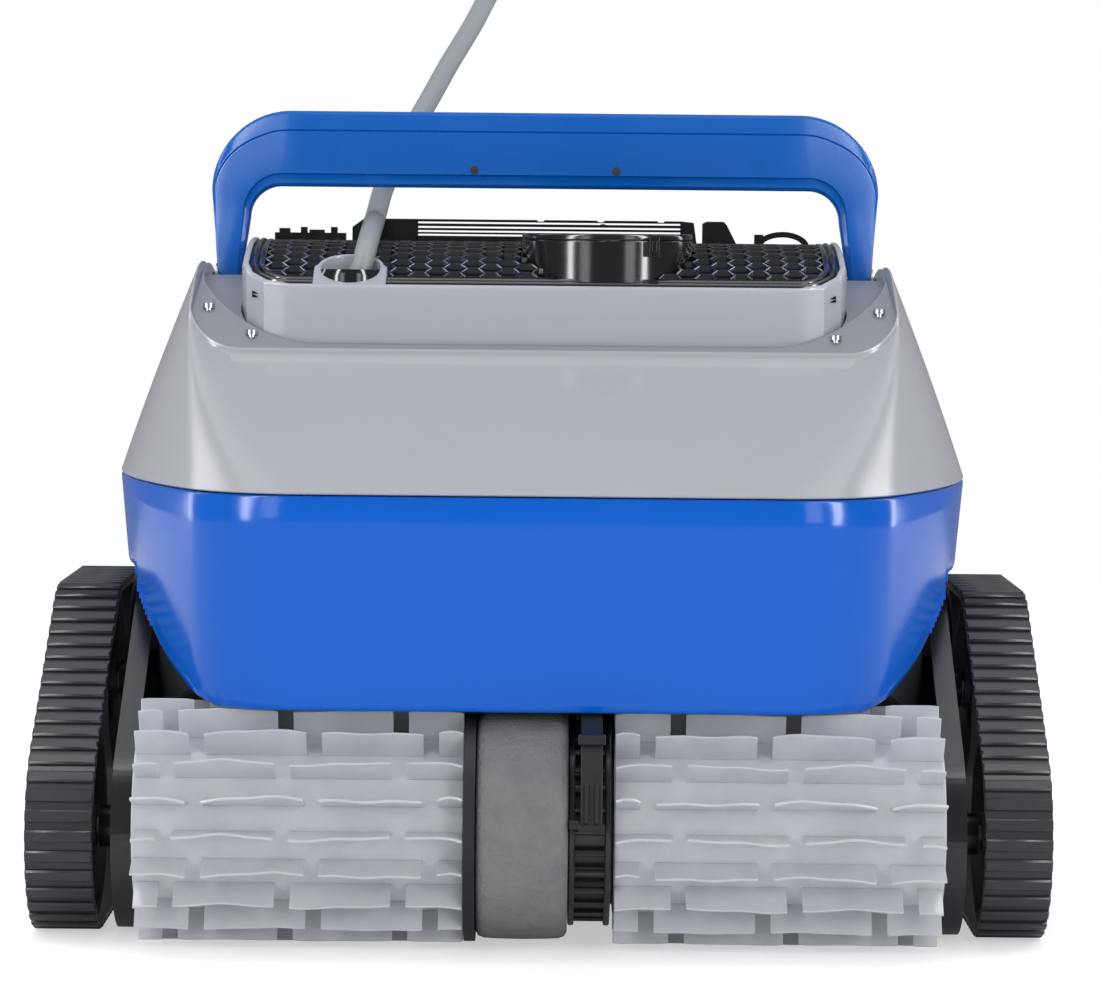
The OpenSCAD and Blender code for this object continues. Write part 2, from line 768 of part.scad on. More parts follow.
// Lantern ring: two flanges with rungs between them
module brush_ring() {
    color("#2b2e33") translate([0, -brush_y, brush_z]) {
        difference() {
            union() {
                bar_x(roller_r + 2.5, ring_x[0], ring_x[1], 0, 0);
                bar_x(ring_flange_r, ring_x[0], ring_x[0] + ring_flange_t, 0, 0);
                bar_x(ring_flange_r, ring_x[1] - ring_flange_t, ring_x[1], 0, 0);
            }
            bar_x(roller_r, ring_x[0] - 1, ring_x[1] + 1, 0, 0);
        }
        for (i = [0:ring_rungs - 1]) let (a = pinion_lean + (i + 0.5) * 360 / ring_rungs)
            bar_x(rung_r, ring_x[0] + 1, ring_x[1] - 1,
                ring_pitch_r * cos(a), ring_pitch_r * sin(a));
    }
}

// Pinion whose tooth points at the middle between two rungs
module brush_pinion() {
    tooth_root = 2.1;
    tooth_tip = 0.9;
    root_r = pinion_pitch_r - 3;
    tip_r = pinion_pitch_r + 2;
    color("#d6d3c8") translate([0, -pinion_y, pinion_z]) {
        along_x(ring_x[0] + ring_flange_t + 0.8, ring_x[1] - ring_flange_t - 0.8) {
            circle(root_r);
            for (i = [0:pinion_teeth - 1])
                rotate(180 + pinion_lean + i * 360 / pinion_teeth)
                    polygon([[root_r - 1, -tooth_root], [tip_r, -tooth_tip],
                        [tip_r, tooth_tip], [root_r - 1, tooth_root]]);
        }
        bar_x(pinion_shaft_r, gear_house_x[0] - 3, gear_house_x[1] + 3, 0, 0);
    }
}

// Arm that hangs from the tub in front of the drive ring
module brush_guides() {
    y = brush_y;
    z = brush_z;
    color("#24272c") both_ends() along_x(17, 26) polygon([[y + 14, z + 60], [y + 14, z + 53.5],
        [y + 22, z + 46], [y + 36, z + 39], [y + 44.6, z + 24], [y + 44.6, z + 5],
        [y + 49, z + 5], [y + 49.5, z + 25], [y + 41, z + 41.5], [y + 26, z + 48.3],
        [y + 20, z + 51.5], [y + 20, z + 60]]);
}

// Handle

// Front view of the whole handle: a bar on two legs that narrow to their feet
module handle_outline() {
    w = handle_half_w;
    top = handle_top_z;
    foot = pivot_z - leg_foot_r;
    difference() {
        hull() {
            for (x = [-1, 1]) translate([x * (w - 36), top - 36]) circle(36);
            translate([-leg_x - leg_w, foot]) square([2 * (leg_x + leg_w), 1]);
        }
        hull() {
            for (x = [-1, 1]) translate([x * (turret_half_w + 0.5 - grip_r),
                top - bar_h - grip_r]) circle(grip_r);
            translate([-leg_x, foot - 1]) square([2 * leg_x, 1]);
        }
    }
}

// Side view of the handle: a deep bar, tapering to a round foot
module handle_profile() {
    hull() {
        translate([0, pivot_z]) circle(leg_foot_r);
        translate([-bar_d / 2, handle_top_z - bar_h]) square([bar_d, bar_h]);
    }
}

// Part of the front view above the seam between the handle's two shells
module handle_cap() {
    difference() {
        translate([-body_w, handle_top_z - 36]) square([2 * body_w, 60]);
        hull() {
            for (x = [-1, 1]) translate([x * (handle_half_w - 31), handle_seam_z - 30])
                circle(30);
            translate([-handle_half_w, handle_top_z - 60]) square([2 * handle_half_w, 2]);
        }
    }
}

module handle_top_shell() {
    color("#0f6fd2") intersection() {
        along_y(-bar_d, bar_d) intersection() {
            handle_outline();
            handle_cap();
        }
        along_x(-body_w, body_w) handle_profile();
    }
}

module handle_bottom_shell() {
    color("#0a5fbe") difference() {
        intersection() {
            along_y(-bar_d, bar_d) difference() {
                handle_outline();
                handle_cap();
            }
            along_x(-body_w, body_w) handle_profile();
        }
        both_sides() {
            bar_x(pivot_r + running_fit, turret_half_w, opening_half_w, 0, pivot_z);
            bar_x(pivot_head_r + part_gap, leg_x + leg_w, opening_half_w, 0, pivot_z);
        }
        handle_screw_shanks();
    }
}

module handle_screw_shanks() {
    for (x = [-32, 32]) translate([x, -bar_d / 2 + 1, handle_top_z - 26]) rotate([-90, 0, 0])
        cylinder(r = 1.6, h = 14);
}

module handle_screws() {
    color("#30343a") handle_screw_shanks();
}

module handle_pivots() {
    color("#9aa0a6") both_sides() {
        bar_x(pivot_r, turret_half_w - turret_wall, leg_x + leg_w + part_gap, 0, pivot_z);
        bar_x(pivot_head_r, leg_x + leg_w + part_gap, leg_x + leg_w + 2, 0, pivot_z);
        bar_x(pivot_r + 3, turret_half_w - turret_wall - 3, turret_half_w - turret_wall, 0,
            pivot_z);
    }
}

// Cable

function unit(v) = v / norm(v);

// Point on the smooth curve through the points p, at t between points i and i + 1
function curve_point(p, i, t) =
    let (n = len(p) - 1, a = p[max(i - 1, 0)], b = p[i], c = p[i + 1], d = p[min(i + 2, n)])
    0.5 * (2 * b + (c - a) * t + (2 * a - 5 * b + 4 * c - d) * t * t
        + (3 * b - a - 3 * c + d) * t * t * t);

function curve(p, steps) = concat([for (i = [0:len(p) - 2]) for (k = [0:steps - 1])
    curve_point(p, i, k / steps)], [p[len(p) - 1]]);

// Ring of points round c, square to the direction t
function ring_points(c, t, r, sides) =
    let (u = unit(cross(t, [1, 0, 0])), v = cross(t, u))
    [for (k = [0:sides - 1]) let (a = 360 * k / sides) c + r * (cos(a) * u + sin(a) * v)];

module tube(route, r, sides, steps) {
    line = curve(route, steps);
    last = len(line) - 1;
    points = [for (i = [0:last]) each ring_points(line[i],
        unit(line[min(i + 1, last)] - line[max(i - 1, 0)]), r, sides)];
    walls = [for (i = [0:last - 1]) for (k = [0:sides - 1])
        let (a = i * sides + k, b = i * sides + (k + 1) % sides)
        each [[a, b, b + sides], [a, b + sides, a + sides]]];
    first_cap = [for (k = [sides - 1:-1:0]) k];
    last_cap = [for (k = [0:sides - 1]) last * sides + k];
    polyhedron(points, concat(walls, [first_cap, last_cap]));
}

// Share of the way from a to b, held between 0 and 1
function share(x, a, b) = min(max((x - a) / (b - a), 0), 1);

function moved(p) =
    p + [0, rear_shift * share(p[1], 60, 160), crest_shift * share(p[2], 40, 240)];

module cable_tube() {
    color("#a2a9ae") tube([for (p = cable_points) moved(p)], cable_d / 2, 10, 2);
}

module cable_coil() {
    color("#a2a9ae") translate([coil_centre[0], coil_centre[1], 0]) rotate_extrude($fn = 96)
        translate([coil_r_in - cable_d / 2, 0])
            square([coil_r_out - coil_r_in + cable_d, coil_h]);
}

module cable_tail() {
    color("#a2a9ae") tube([for (p = tail_points) moved(p)], cable_d / 2, 10, 2);
}

module cable_connector() {
    end = moved(tail_points[len(tail_points) - 1]);
    body_len = connector_len - connector_neck[1] - connector_cap[1];
    color("#2b2e33") translate([end[0], end[1], connector_r]) rotate([90, 0, 0]) {
        cylinder(r = connector_neck[0], h = connector_neck[1]);
        translate([0, 0, connector_neck[1]]) cylinder(r = connector_r, h = body_len);
        translate([0, 0, connector_len - connector_cap[1]])
            cylinder(r = connector_cap[0], h = connector_cap[1]);
    }
}

// Nodes

module left() { mirror([1, 0, 0]) children(); }
module rear() { mirror([0, 1, 0]) children(); }

chassis_tub();
bottom_plate();
lower_shell();
upper_shell();
turret();
ledge_ring();
deck_grille();
grille_rim();
outlet_nozzle();
cable_well();
cable_gland();
rear_louvre();
rear_latches();
left() side_plate();  // side_plate_left
side_plate();  // side_plate_right
left() track_belt();  // track_belt_left
track_belt();  // track_belt_right
idler_axles();
pump_motor();
left() drive_gearbox();  // drive_gearbox_left
drive_gearbox();  // drive_gearbox_right
filter_basket();
float_blocks();
brush_guides();
handle_pivots();
ledge_screws();
side_plate_screws();
brush_bushes();
left() intake_flap();  // intake_flap_left
intake_flap();  // intake_flap_right
impeller();
handle_top_shell();
handle_bottom_shell();
handle_screws();
brush_shaft();  // brush_shaft_front
brush_sleeve(-brush_end_x, -sleeve_gap_x);  // brush_sleeve_front_left
brush_sleeve(sleeve_gap_x, brush_end_x);  // brush_sleeve_front_right
brush_drum();  // brush_drum_front
brush_ring();  // brush_ring_front
brush_pinion();  // brush_pinion_front
rear() brush_shaft();  // brush_shaft_rear
rear() brush_sleeve(-brush_end_x, -sleeve_gap_x);  // brush_sleeve_rear_left
rear() brush_sleeve(sleeve_gap_x, brush_end_x);  // brush_sleeve_rear_right
rear() brush_drum();  // brush_drum_rear
rear() brush_ring();  // brush_ring_rear
rear() brush_pinion();  // brush_pinion_rear
left() drive_shaft();  // drive_shaft_left
left() track_wheel(top_wheel[0], top_wheel[1], drive_shaft_r);  // drive_wheel_left
left() track_wheel(-low_wheel[0], low_wheel[1], axle_r + running_fit);  // front_wheel_left
left() track_wheel(low_wheel[0], low_wheel[1], axle_r + running_fit);  // rear_wheel_left
left() track_wheel(-top_wheel[0], top_wheel[1], axle_r + running_fit);  // upper_wheel_left
drive_shaft();  // drive_shaft_right
track_wheel(top_wheel[0], top_wheel[1], drive_shaft_r);  // drive_wheel_right
track_wheel(-low_wheel[0], low_wheel[1], axle_r + running_fit);  // front_wheel_right
track_wheel(low_wheel[0], low_wheel[1], axle_r + running_fit);  // rear_wheel_right
track_wheel(-top_wheel[0], top_wheel[1], axle_r + running_fit);  // upper_wheel_right
cable_tube();
cable_coil();
cable_tail();
cable_connector();
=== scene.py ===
"""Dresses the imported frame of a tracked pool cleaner: shells, deck, handle, tracks, brushes and cable.

Sizes are in millimetres in the machine's own frame (X left to right, Y front to back, Z up, the
origin on the floor under the middle of the body), and become metres when a mesh is made.
"""

import json
import logging
import math
from contextlib import contextmanager
from dataclasses import dataclass
from enum import Enum
from typing import Callable, Iterable, Iterator, Sequence

import bmesh
import bpy
import numpy as np
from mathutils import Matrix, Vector

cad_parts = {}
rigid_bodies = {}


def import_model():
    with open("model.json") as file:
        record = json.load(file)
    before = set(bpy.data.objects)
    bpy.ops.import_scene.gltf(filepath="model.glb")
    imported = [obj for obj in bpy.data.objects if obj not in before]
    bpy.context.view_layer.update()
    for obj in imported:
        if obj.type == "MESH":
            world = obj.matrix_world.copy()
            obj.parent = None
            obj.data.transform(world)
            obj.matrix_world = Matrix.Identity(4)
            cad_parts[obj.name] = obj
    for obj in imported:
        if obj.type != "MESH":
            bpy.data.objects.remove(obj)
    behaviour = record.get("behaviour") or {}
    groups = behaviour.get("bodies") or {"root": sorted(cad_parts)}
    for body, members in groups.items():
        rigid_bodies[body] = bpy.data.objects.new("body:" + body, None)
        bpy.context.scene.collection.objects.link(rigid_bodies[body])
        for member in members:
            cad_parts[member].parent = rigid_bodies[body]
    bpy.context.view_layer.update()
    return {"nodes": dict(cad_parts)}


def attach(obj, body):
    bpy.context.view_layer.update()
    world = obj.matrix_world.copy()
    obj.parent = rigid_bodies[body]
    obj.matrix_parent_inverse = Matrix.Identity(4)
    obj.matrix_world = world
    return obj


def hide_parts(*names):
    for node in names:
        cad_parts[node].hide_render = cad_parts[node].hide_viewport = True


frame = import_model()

LOG = logging.getLogger("pool_cleaner")
MM = 0.001

# Sizes that several classes share, from the frame
WAIST_Z = 191.0
CREST_Z = 296.0
ARCH_R = 158.0
ARCH_AXIS_Z = CREST_Z - ARCH_R
SHOULDER_R = 121.0
SHOULDER_AXIS_Z = CREST_Z - 11.0 - SHOULDER_R
OUTLET = (28.0, -35.0)
WELL = (-85.0, -61.0)
BRUSH_Y = 150.0
BRUSH_Z = 51.5
BRUSH_AXIS = (-BRUSH_Y, BRUSH_Z)
LOW_WHEEL = (121.0, 44.0)
TOP_WHEEL = (41.0, 98.0)
BELT_R = 44.0

Point = tuple[float, float, float]


def arch_z(y: float | np.ndarray, drop: float = 0.0) -> float | np.ndarray:
    """Height of the arched deck at a depth y.

    Args:
        y: place from front to back.
        drop: how far below the deck's own surface.

    Returns:
        The height above the floor.
    """
    return ARCH_AXIS_Z - drop + np.sqrt(np.maximum(ARCH_R**2 - np.asarray(y) ** 2, 0.0))


def shoulder_z(y: float | np.ndarray, drop: float = 0.0) -> float | np.ndarray:
    """Height of the arch that the hood's rim follows, at a depth y."""
    return SHOULDER_AXIS_Z - drop + np.sqrt(np.maximum(SHOULDER_R**2 - np.asarray(y) ** 2, 0.0))


def outline(
    half_w: float,
    half_d: float,
    corner: float,
    bow: float = 0.0,
    front_xs: Sequence[float] = (),
    steps: tuple[int, int, int] = (24, 14, 16),
) -> np.ndarray:
    """Plan of a box with round corners, from the front edge's left end round by the right.

    Args:
        half_w: half width.
        half_d: half depth.
        corner: radius of the corners.
        bow: radius of the bowed sides, or 0 where they are straight.
        front_xs: places along the front edge that need a point of their own.
        steps: how many pieces the front, a corner and a side are cut into.

    Returns:
        Points as an (n, 2) array. Plans made with the same steps and front_xs match point by point.
    """
    n_front, n_corner, n_side = steps
    if bow:
        reach = math.sqrt((bow - corner) ** 2 - (half_d - corner) ** 2)
        centre_x = half_w - bow + reach
        lean = math.atan2(half_d - corner, reach)
    else:
        centre_x, lean = half_w - corner, 0.0
    centre_y = half_d - corner
    xs = np.unique(np.concatenate([np.linspace(-1, 1, n_front + 1) * centre_x, [x for x in front_xs]]))
    quarter = []
    for a in np.linspace(-math.pi / 2, -lean, n_corner + 1)[1:]:
        quarter.append((centre_x + corner * math.cos(a), -centre_y + corner * math.sin(a)))
    if bow:
        side = [(half_w - bow + bow * math.cos(a), bow * math.sin(a))
                for a in np.linspace(-lean, lean, n_side + 1)[1:-1]]
    else:
        side = [(half_w, y) for y in np.linspace(-centre_y, centre_y, n_side + 1)[1:-1]]
    right = quarter + side + [(x, -y) for x, y in reversed(quarter)]
    left = [(-x, y) for x, y in reversed(right)]
    front = [(x, -half_d) for x in xs]
    back = [(x, half_d) for x in xs[::-1]]
    return np.array(front + right + back + left)


def smooth_path(points: Sequence[Sequence[float]], steps: int) -> np.ndarray:
    """Smooth curve through points, with the same rule as the frame's tube.

    Args:
        points: places that the curve passes through.
        steps: how many pieces each span is cut into.

    Returns:
        Points along the curve.
    """
    p = np.array(points, float)
    last = len(p) - 1
    line = []
    for i in range(last):
        a, b, c, d = p[max(i - 1, 0)], p[i], p[i + 1], p[min(i + 2, last)]
        for k in range(steps):
            t = k / steps
            line.append(0.5 * (2 * b + (c - a) * t + (2 * a - 5 * b + 4 * c - d) * t * t
                               + (3 * b - a - 3 * c + d) * t**3))
    line.append(p[last])
    return np.array(line)


def blend_between(t: float | np.ndarray) -> float | np.ndarray:
    """Smooth step from 0 at t = 0 to 1 at t = 1."""
    t = np.clip(t, 0.0, 1.0)
    return t * t * (3 - 2 * t)


@contextmanager
def edited(mesh: bpy.types.Mesh) -> Iterator[bmesh.types.BMesh]:
    """Opens a mesh for editing and writes it back."""
    work = bmesh.new()
    work.from_mesh(mesh)
    yield work
    work.to_mesh(mesh)
    work.free()


def apart(place: Sequence[float], centre: tuple[float, float]) -> float:
    """How far a place lies from a centre in plan."""
    return math.hypot(place[0] - centre[0], place[1] - centre[1])


class Shape:
    """Vertices and faces of one piece while it is being built, in millimetres."""

    def __init__(self) -> None:
        """Starts with nothing in it."""
        self.points: list[Point] = []
        self.faces: list[tuple[int, ...]] = []
        self.slots: list[int] = []

    def add(self, points: Iterable[Sequence[float]], faces: Iterable[Sequence[int]], slot: int = 0) -> None:
        """Adds points and the faces between them.

        Args:
            points: the new points.
            faces: faces as indices into the new points.
            slot: which of the piece's materials the faces take.
        """
        base = len(self.points)
        self.points.extend(tuple(float(c) for c in p) for p in points)
        for face in faces:
            self.faces.append(tuple(base + i for i in face))
            self.slots.append(slot)

    def loft(
        self,
        sections: Sequence[np.ndarray],
        closed: bool = True,
        looped: bool = False,
        capped: bool = False,
        slot: int = 0,
    ) -> None:
        """Joins sections of equal length with four-sided faces.

        Args:
            sections: rows of points.
            closed: whether each section is a closed loop.
            looped: whether the last section joins the first.
            capped: whether the first and last section are filled.
            slot: which of the piece's materials the faces take.
        """
        rows, n = len(sections), len(sections[0])
        faces: list[tuple[int, ...]] = []
        for i in range(rows if looped else rows - 1):
            j = (i + 1) % rows
            for k in range(n if closed else n - 1):
                m = (k + 1) % n
                faces.append((i * n + k, i * n + m, j * n + m, j * n + k))
        if capped:
            faces.append(tuple(reversed(range(n))))
            faces.append(tuple((rows - 1) * n + k for k in range(n)))
        self.add(np.concatenate(sections), faces, slot)

    def turned(
        self,
        profile: Sequence[tuple[float, float]],
        centre: tuple[float, float] = (0.0, 0.0),
        axis: str = "x",
        steps: int = 64,
        slot: int = 0,
        looped: bool = True,
    ) -> None:
        """Turns a profile round an axis.

        Args:
            profile: places along the axis and their radii.
            centre: where the axis lies, as Y and Z for axis x, or X and Y for axis z.
            axis: x or z.
            steps: how many pieces a full turn is cut into.
            slot: which of the piece's materials the faces take.
            looped: whether the profile closes on itself.
        """
        turn = np.linspace(0, 2 * math.pi, steps, endpoint=False)
        sections = []
        for along, radius in profile:
            u, v = centre[0] + radius * np.cos(turn), centre[1] + radius * np.sin(turn)
            fixed = np.full(steps, float(along))
            sections.append(np.stack([fixed, u, v] if axis == "x" else [u, v, fixed], axis=1))
        self.loft(sections, looped=looped, slot=slot)

    def prism(self, profile: Sequence[tuple[float, float]], lo: float, hi: float, axis: str = "x",
              slot: int = 0) -> None:
        """Extrudes a flat profile along an axis.

        Args:
            profile: corners, as the two other coordinates in their order.
            lo: where it starts.
            hi: where it ends.
            axis: x, y or z.
            slot: which of the piece's materials the faces take.
        """
        at = "xyz".index(axis)
        self.loft([np.insert(np.array(profile, float), at, end, axis=1) for end in (lo, hi)],
                  capped=True, slot=slot)

    def box(self, lo: Point, hi: Point, slot: int = 0) -> None:
        """Adds a box between two corners."""
        self.prism([(lo[1], lo[2]), (hi[1], lo[2]), (hi[1], hi[2]), (lo[1], hi[2])], lo[0], hi[0], slot=slot)

    def drop(self, test: Callable[[np.ndarray], bool]) -> None:
        """Removes the faces whose middle passes a test."""
        points = np.array(self.points)
        kept = [(f, m) for f, m in zip(self.faces, self.slots) if not test(points[list(f)].mean(axis=0))]
        self.faces, self.slots = [f for f, _ in kept], [m for _, m in kept]

    def mesh(self, name: str, flip: Callable[[np.ndarray], np.ndarray] | None = None) -> bpy.types.Mesh:
        """Makes the mesh, in metres, with doubles merged and its faces outwards.

        Args:
            name: the mesh's name.
            flip: a change made to all the points, such as a mirror.

        Returns:
            The finished mesh.
        """
        points = np.array(self.points, float)
        if flip is not None:
            points = flip(points)
        mesh = bpy.data.meshes.new(name)
        mesh.from_pydata([tuple(p) for p in points * MM], [], self.faces)
        mesh.polygons.foreach_set("material_index", self.slots)
        with edited(mesh) as work:
            bmesh.ops.remove_doubles(work, verts=work.verts, dist=2e-6)
            bmesh.ops.dissolve_degenerate(work, dist=1e-6, edges=work.edges)
            bmesh.ops.recalc_face_normals(work, faces=work.faces)
        mesh.validate()
        return mesh


def link(name: str, data: bpy.types.ID) -> bpy.types.Object:
    """Puts data into the scene as an object at the origin."""
    made = bpy.data.objects.new(name, data)
    bpy.context.scene.collection.objects.link(made)
    return made


def settle(
    made: bpy.types.Object,
    body: str,
    stands_for: Sequence[str] = (),
) -> bpy.types.Object:
    """Ties a finished piece to the frame.

    Args:
        made: the piece.
        body: the body it moves with.
        stands_for: frame nodes that it is shown instead of.

    Returns:
        The same piece.
    """
    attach(made, body)
    if stands_for:
        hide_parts(*stands_for)
    LOG.info("%s on %s%s", made.name, body, f", for {', '.join(stands_for)}" if stands_for else "")
    return made


def finished(
    name: str,
    shape: Shape,
    materials: Sequence[bpy.types.Material],
    body: str,
    stands_for: Sequence[str] = (),
    bevel: float = 0.0,
    sharp: float = 35.0,
    flip: Callable[[np.ndarray], np.ndarray] | None = None,
) -> bpy.types.Object:
    """Makes a piece from a shape, dresses it and ties it to the frame.

    Args:
        name: the piece's name.
        shape: its vertices and faces.
        materials: its materials, in slot order.
        body: the body it moves with.
        stands_for: frame nodes that it is shown instead of.
        bevel: width of the round on its edges, in millimetres.
        sharp: edges that turn more than this many degrees stay crisp.
        flip: a change made to all the points, such as a mirror.

    Returns:
        The piece.
    """
    mesh = shape.mesh(name, flip)
    for material in materials:
        mesh.materials.append(material)
    mesh.shade_smooth()
    mesh.set_sharp_from_angle(angle=math.radians(sharp))
    made = link(name, mesh)
    if bevel:
        rounding = made.modifiers.new("edge_round", "BEVEL")
        rounding.width = bevel * MM
        rounding.segments = 2
        rounding.limit_method = "ANGLE"
        rounding.angle_limit = math.radians(sharp)
        rounding.harden_normals = True
    return settle(made, body, stands_for)


def mirror_y(points: np.ndarray) -> np.ndarray:
    """The points at the other end, front for back."""
    return points * np.array([1.0, -1.0, 1.0])


def linear(colour: str) -> tuple[float, float, float, float]:
    """Turns an sRGB hex colour to the linear one that the nodes take."""
    parts = [int(colour[i : i + 2], 16) / 255 for i in (1, 3, 5)]
    return (*[c / 12.92 if c <= 0.04045 else ((c + 0.055) / 1.055) ** 2.4 for c in parts], 1.0)


def add(
    tree: bpy.types.NodeTree,
    kind: str,
    settings: dict[str, object] | None = None,
    inputs: dict[str | int, object] | None = None,
) -> bpy.types.Node:
    """Adds a node with its settings, values and links.

    Args:
        tree: the tree that it goes in.
        kind: the node's type.
        settings: attributes of the node.
        inputs: a value, or an output socket to link, for each input by name or index.

    Returns:
        The node.
    """
    node = tree.nodes.new(kind)
    for name, value in (settings or {}).items():
        setattr(node, name, value)
    for name, value in (inputs or {}).items():
        if isinstance(value, bpy.types.NodeSocket):
            tree.links.new(value, node.inputs[name])
        else:
            node.inputs[name].default_value = value
    return node


def noise(
    tree: bpy.types.NodeTree,
    place: bpy.types.NodeSocket,
    size_mm: float,
    detail: float,
) -> bpy.types.NodeSocket:
    """Adds a cloudy pattern.

    Args:
        tree: the material's tree.
        place: the coordinates that it reads.
        size_mm: how large its clouds are.
        detail: how many finer layers it has.

    Returns:
        The pattern, from 0 to 1.
    """
    clouds = add(tree, "ShaderNodeTexNoise", None, {"Vector": place, "Scale": 1000 / size_mm, "Detail": detail})
    return clouds.outputs["Fac"]


def cleared(owner: bpy.types.ID) -> bpy.types.NodeTree:
    """The empty node tree of a material or a world."""
    owner.use_nodes = True
    owner.node_tree.nodes.clear()
    return owner.node_tree


@dataclass(frozen=True)
class Finish:
    """A surface: what it is made of and how light meets it. Patterns are in metres times scale."""

    name: str
    colour: str
    roughness: float = 0.4
    specular: float = 0.5
    metallic: float = 0.0

    def make(self) -> bpy.types.Material:
        """Builds the material.

        Returns:
            A node material named for the finish.
        """
        material = bpy.data.materials.new(self.name)
        material.diffuse_color = linear(self.colour)
        tree = cleared(material)
        shader = add(tree, "ShaderNodeBsdfPrincipled", None, {
            "Base Color": linear(self.colour),
            "Roughness": self.roughness,
            "Specular IOR Level": self.specular,
            "Metallic": self.metallic,
        })
        add(tree, "ShaderNodeOutputMaterial", None, {"Surface": shader.outputs["BSDF"]})
        place = add(tree, "ShaderNodeTexCoord").outputs["Object"]
        self.dress(tree, shader, place)
        return material

    def dress(self, tree: bpy.types.NodeTree, shader: bpy.types.Node, place: bpy.types.NodeSocket) -> None:
        """Adds the finish's own patterns to the shader."""

    def vary(
        self,
        tree: bpy.types.NodeTree,
        shader: bpy.types.Node,
        place: bpy.types.NodeSocket,
        size_mm: float,
        other: str,
        share: float,
    ) -> bpy.types.Node:
        """Clouds the colour towards another one.

        Args:
            tree: the material's tree.
            shader: its shader.
            place: the coordinates that the pattern reads.
            size_mm: how large the clouds are.
            other: the colour that they lean to.
            share: how much of it they take at most.

        Returns:
            The noise node, for what else follows the same clouds.
        """
        clouds = add(tree, "ShaderNodeTexNoise", None,
                     {"Vector": place, "Scale": 1000 / size_mm, "Detail": 3.0, "Roughness": 0.55})
        amount = add(tree, "ShaderNodeMapRange", None,
                     {"Value": clouds.outputs["Fac"], "From Min": 0.35, "From Max": 0.68, "To Max": share})
        mixed = add(tree, "ShaderNodeMix", {"data_type": "RGBA"},
                    {0: amount.outputs["Result"], 6: linear(self.colour), 7: linear(other)})
        tree.links.new(mixed.outputs[2], shader.inputs["Base Color"])
        return clouds

    def relief(
        self,
        tree: bpy.types.NodeTree,
        shader: bpy.types.Node,
        height: bpy.types.NodeSocket,
        depth_mm: float,
        under: bpy.types.NodeSocket | None = None,
    ) -> bpy.types.NodeSocket:
        """Raises the surface by a pattern.

        Args:
            tree: the material's tree.
            shader: its shader.
            height: the pattern, from 0 to 1.
            depth_mm: how deep it is.
            under: the normal of a coarser pattern below it.

        Returns:
            The normal, for a finer pattern above it.
        """
        inputs: dict[str | int, object] = {"Height": height, "Distance": depth_mm * MM, "Strength": 1.0}
        if under is not None:
            inputs["Normal"] = under
        bump = add(tree, "ShaderNodeBump", None, inputs)
        tree.links.new(bump.outputs["Normal"], shader.inputs["Normal"])
        return bump.outputs["Normal"]


@dataclass(frozen=True)
class GlossShell(Finish):
    """Injection-moulded ABS with a gloss finish: clean reflections that waver a little over the flow."""

    roughness: float = 0.2
    specular: float = 0.38
    waver_mm: float = 22.0

    def dress(self, tree: bpy.types.NodeTree, shader: bpy.types.Node, place: bpy.types.NodeSocket) -> None:
        """Adds the slow waver of a moulded wall and the rub marks of handling."""
        flow = noise(tree, place, self.waver_mm, 2.0)
        rubbed = noise(tree, place, 60.0, 5.0)
        rough = add(tree, "ShaderNodeMapRange", None, {
            "Value": rubbed, "From Min": 0.4, "From Max": 0.75,
            "To Min": self.roughness * 0.9, "To Max": self.roughness * 1.35})
        tree.links.new(rough.outputs["Result"], shader.inputs["Roughness"])
        self.relief(tree, shader, flow, 0.05)


@dataclass(frozen=True)
class MouldedGrain(Finish):
    """Matt moulded plastic: a fine spark-eroded grain, drawn at 1.2 mm so that it shows."""

    roughness: float = 0.45
    specular: float = 0.35
    grain_mm: float = 1.2
    grain_depth_mm: float = 0.05
    worn: str = ""

    def dress(self, tree: bpy.types.NodeTree, shader: bpy.types.Node, place: bpy.types.NodeSocket) -> None:
        """Adds the grain and, where there is a worn colour, its dusty clouds."""
        grain = noise(tree, place, self.grain_mm, 2.0)
        if self.worn:
            self.vary(tree, shader, place, 35.0, self.worn, 0.5)
        rough = add(tree, "ShaderNodeMapRange", None, {
            "Value": grain, "To Min": self.roughness * 0.8, "To Max": self.roughness * 1.2})
        tree.links.new(rough.outputs["Result"], shader.inputs["Roughness"])
        self.relief(tree, shader, grain, self.grain_depth_mm)


@dataclass(frozen=True)
class BeltRubber(Finish):
    """Moulded nitrile rubber: dark, with a low sheen, paler where ribs have rubbed on the pool floor."""

    roughness: float = 0.32
    specular: float = 0.5
    rubbed: str = "#4A4E55"

    def dress(self, tree: bpy.types.NodeTree, shader: bpy.types.Node, place: bpy.types.NodeSocket) -> None:
        """Adds wear on the ribs' edges, dusty clouds and a fine skin."""
        edges = add(tree, "ShaderNodeNewGeometry").outputs["Pointiness"]
        wear = add(tree, "ShaderNodeMapRange", None,
                   {"Value": edges, "From Min": 0.5, "From Max": 0.62, "To Max": 0.55})
        dust = noise(tree, place, 18.0, 4.0)
        amount = add(tree, "ShaderNodeMath", {"operation": "MULTIPLY"}, {0: wear.outputs["Result"], 1: dust})
        mixed = add(tree, "ShaderNodeMix", {"data_type": "RGBA"},
                    {0: amount.outputs["Value"], 6: linear(self.colour), 7: linear(self.rubbed)})
        tree.links.new(mixed.outputs[2], shader.inputs["Base Color"])
        skin = noise(tree, place, 1.5, 2.0)
        self.relief(tree, shader, skin, 0.04)


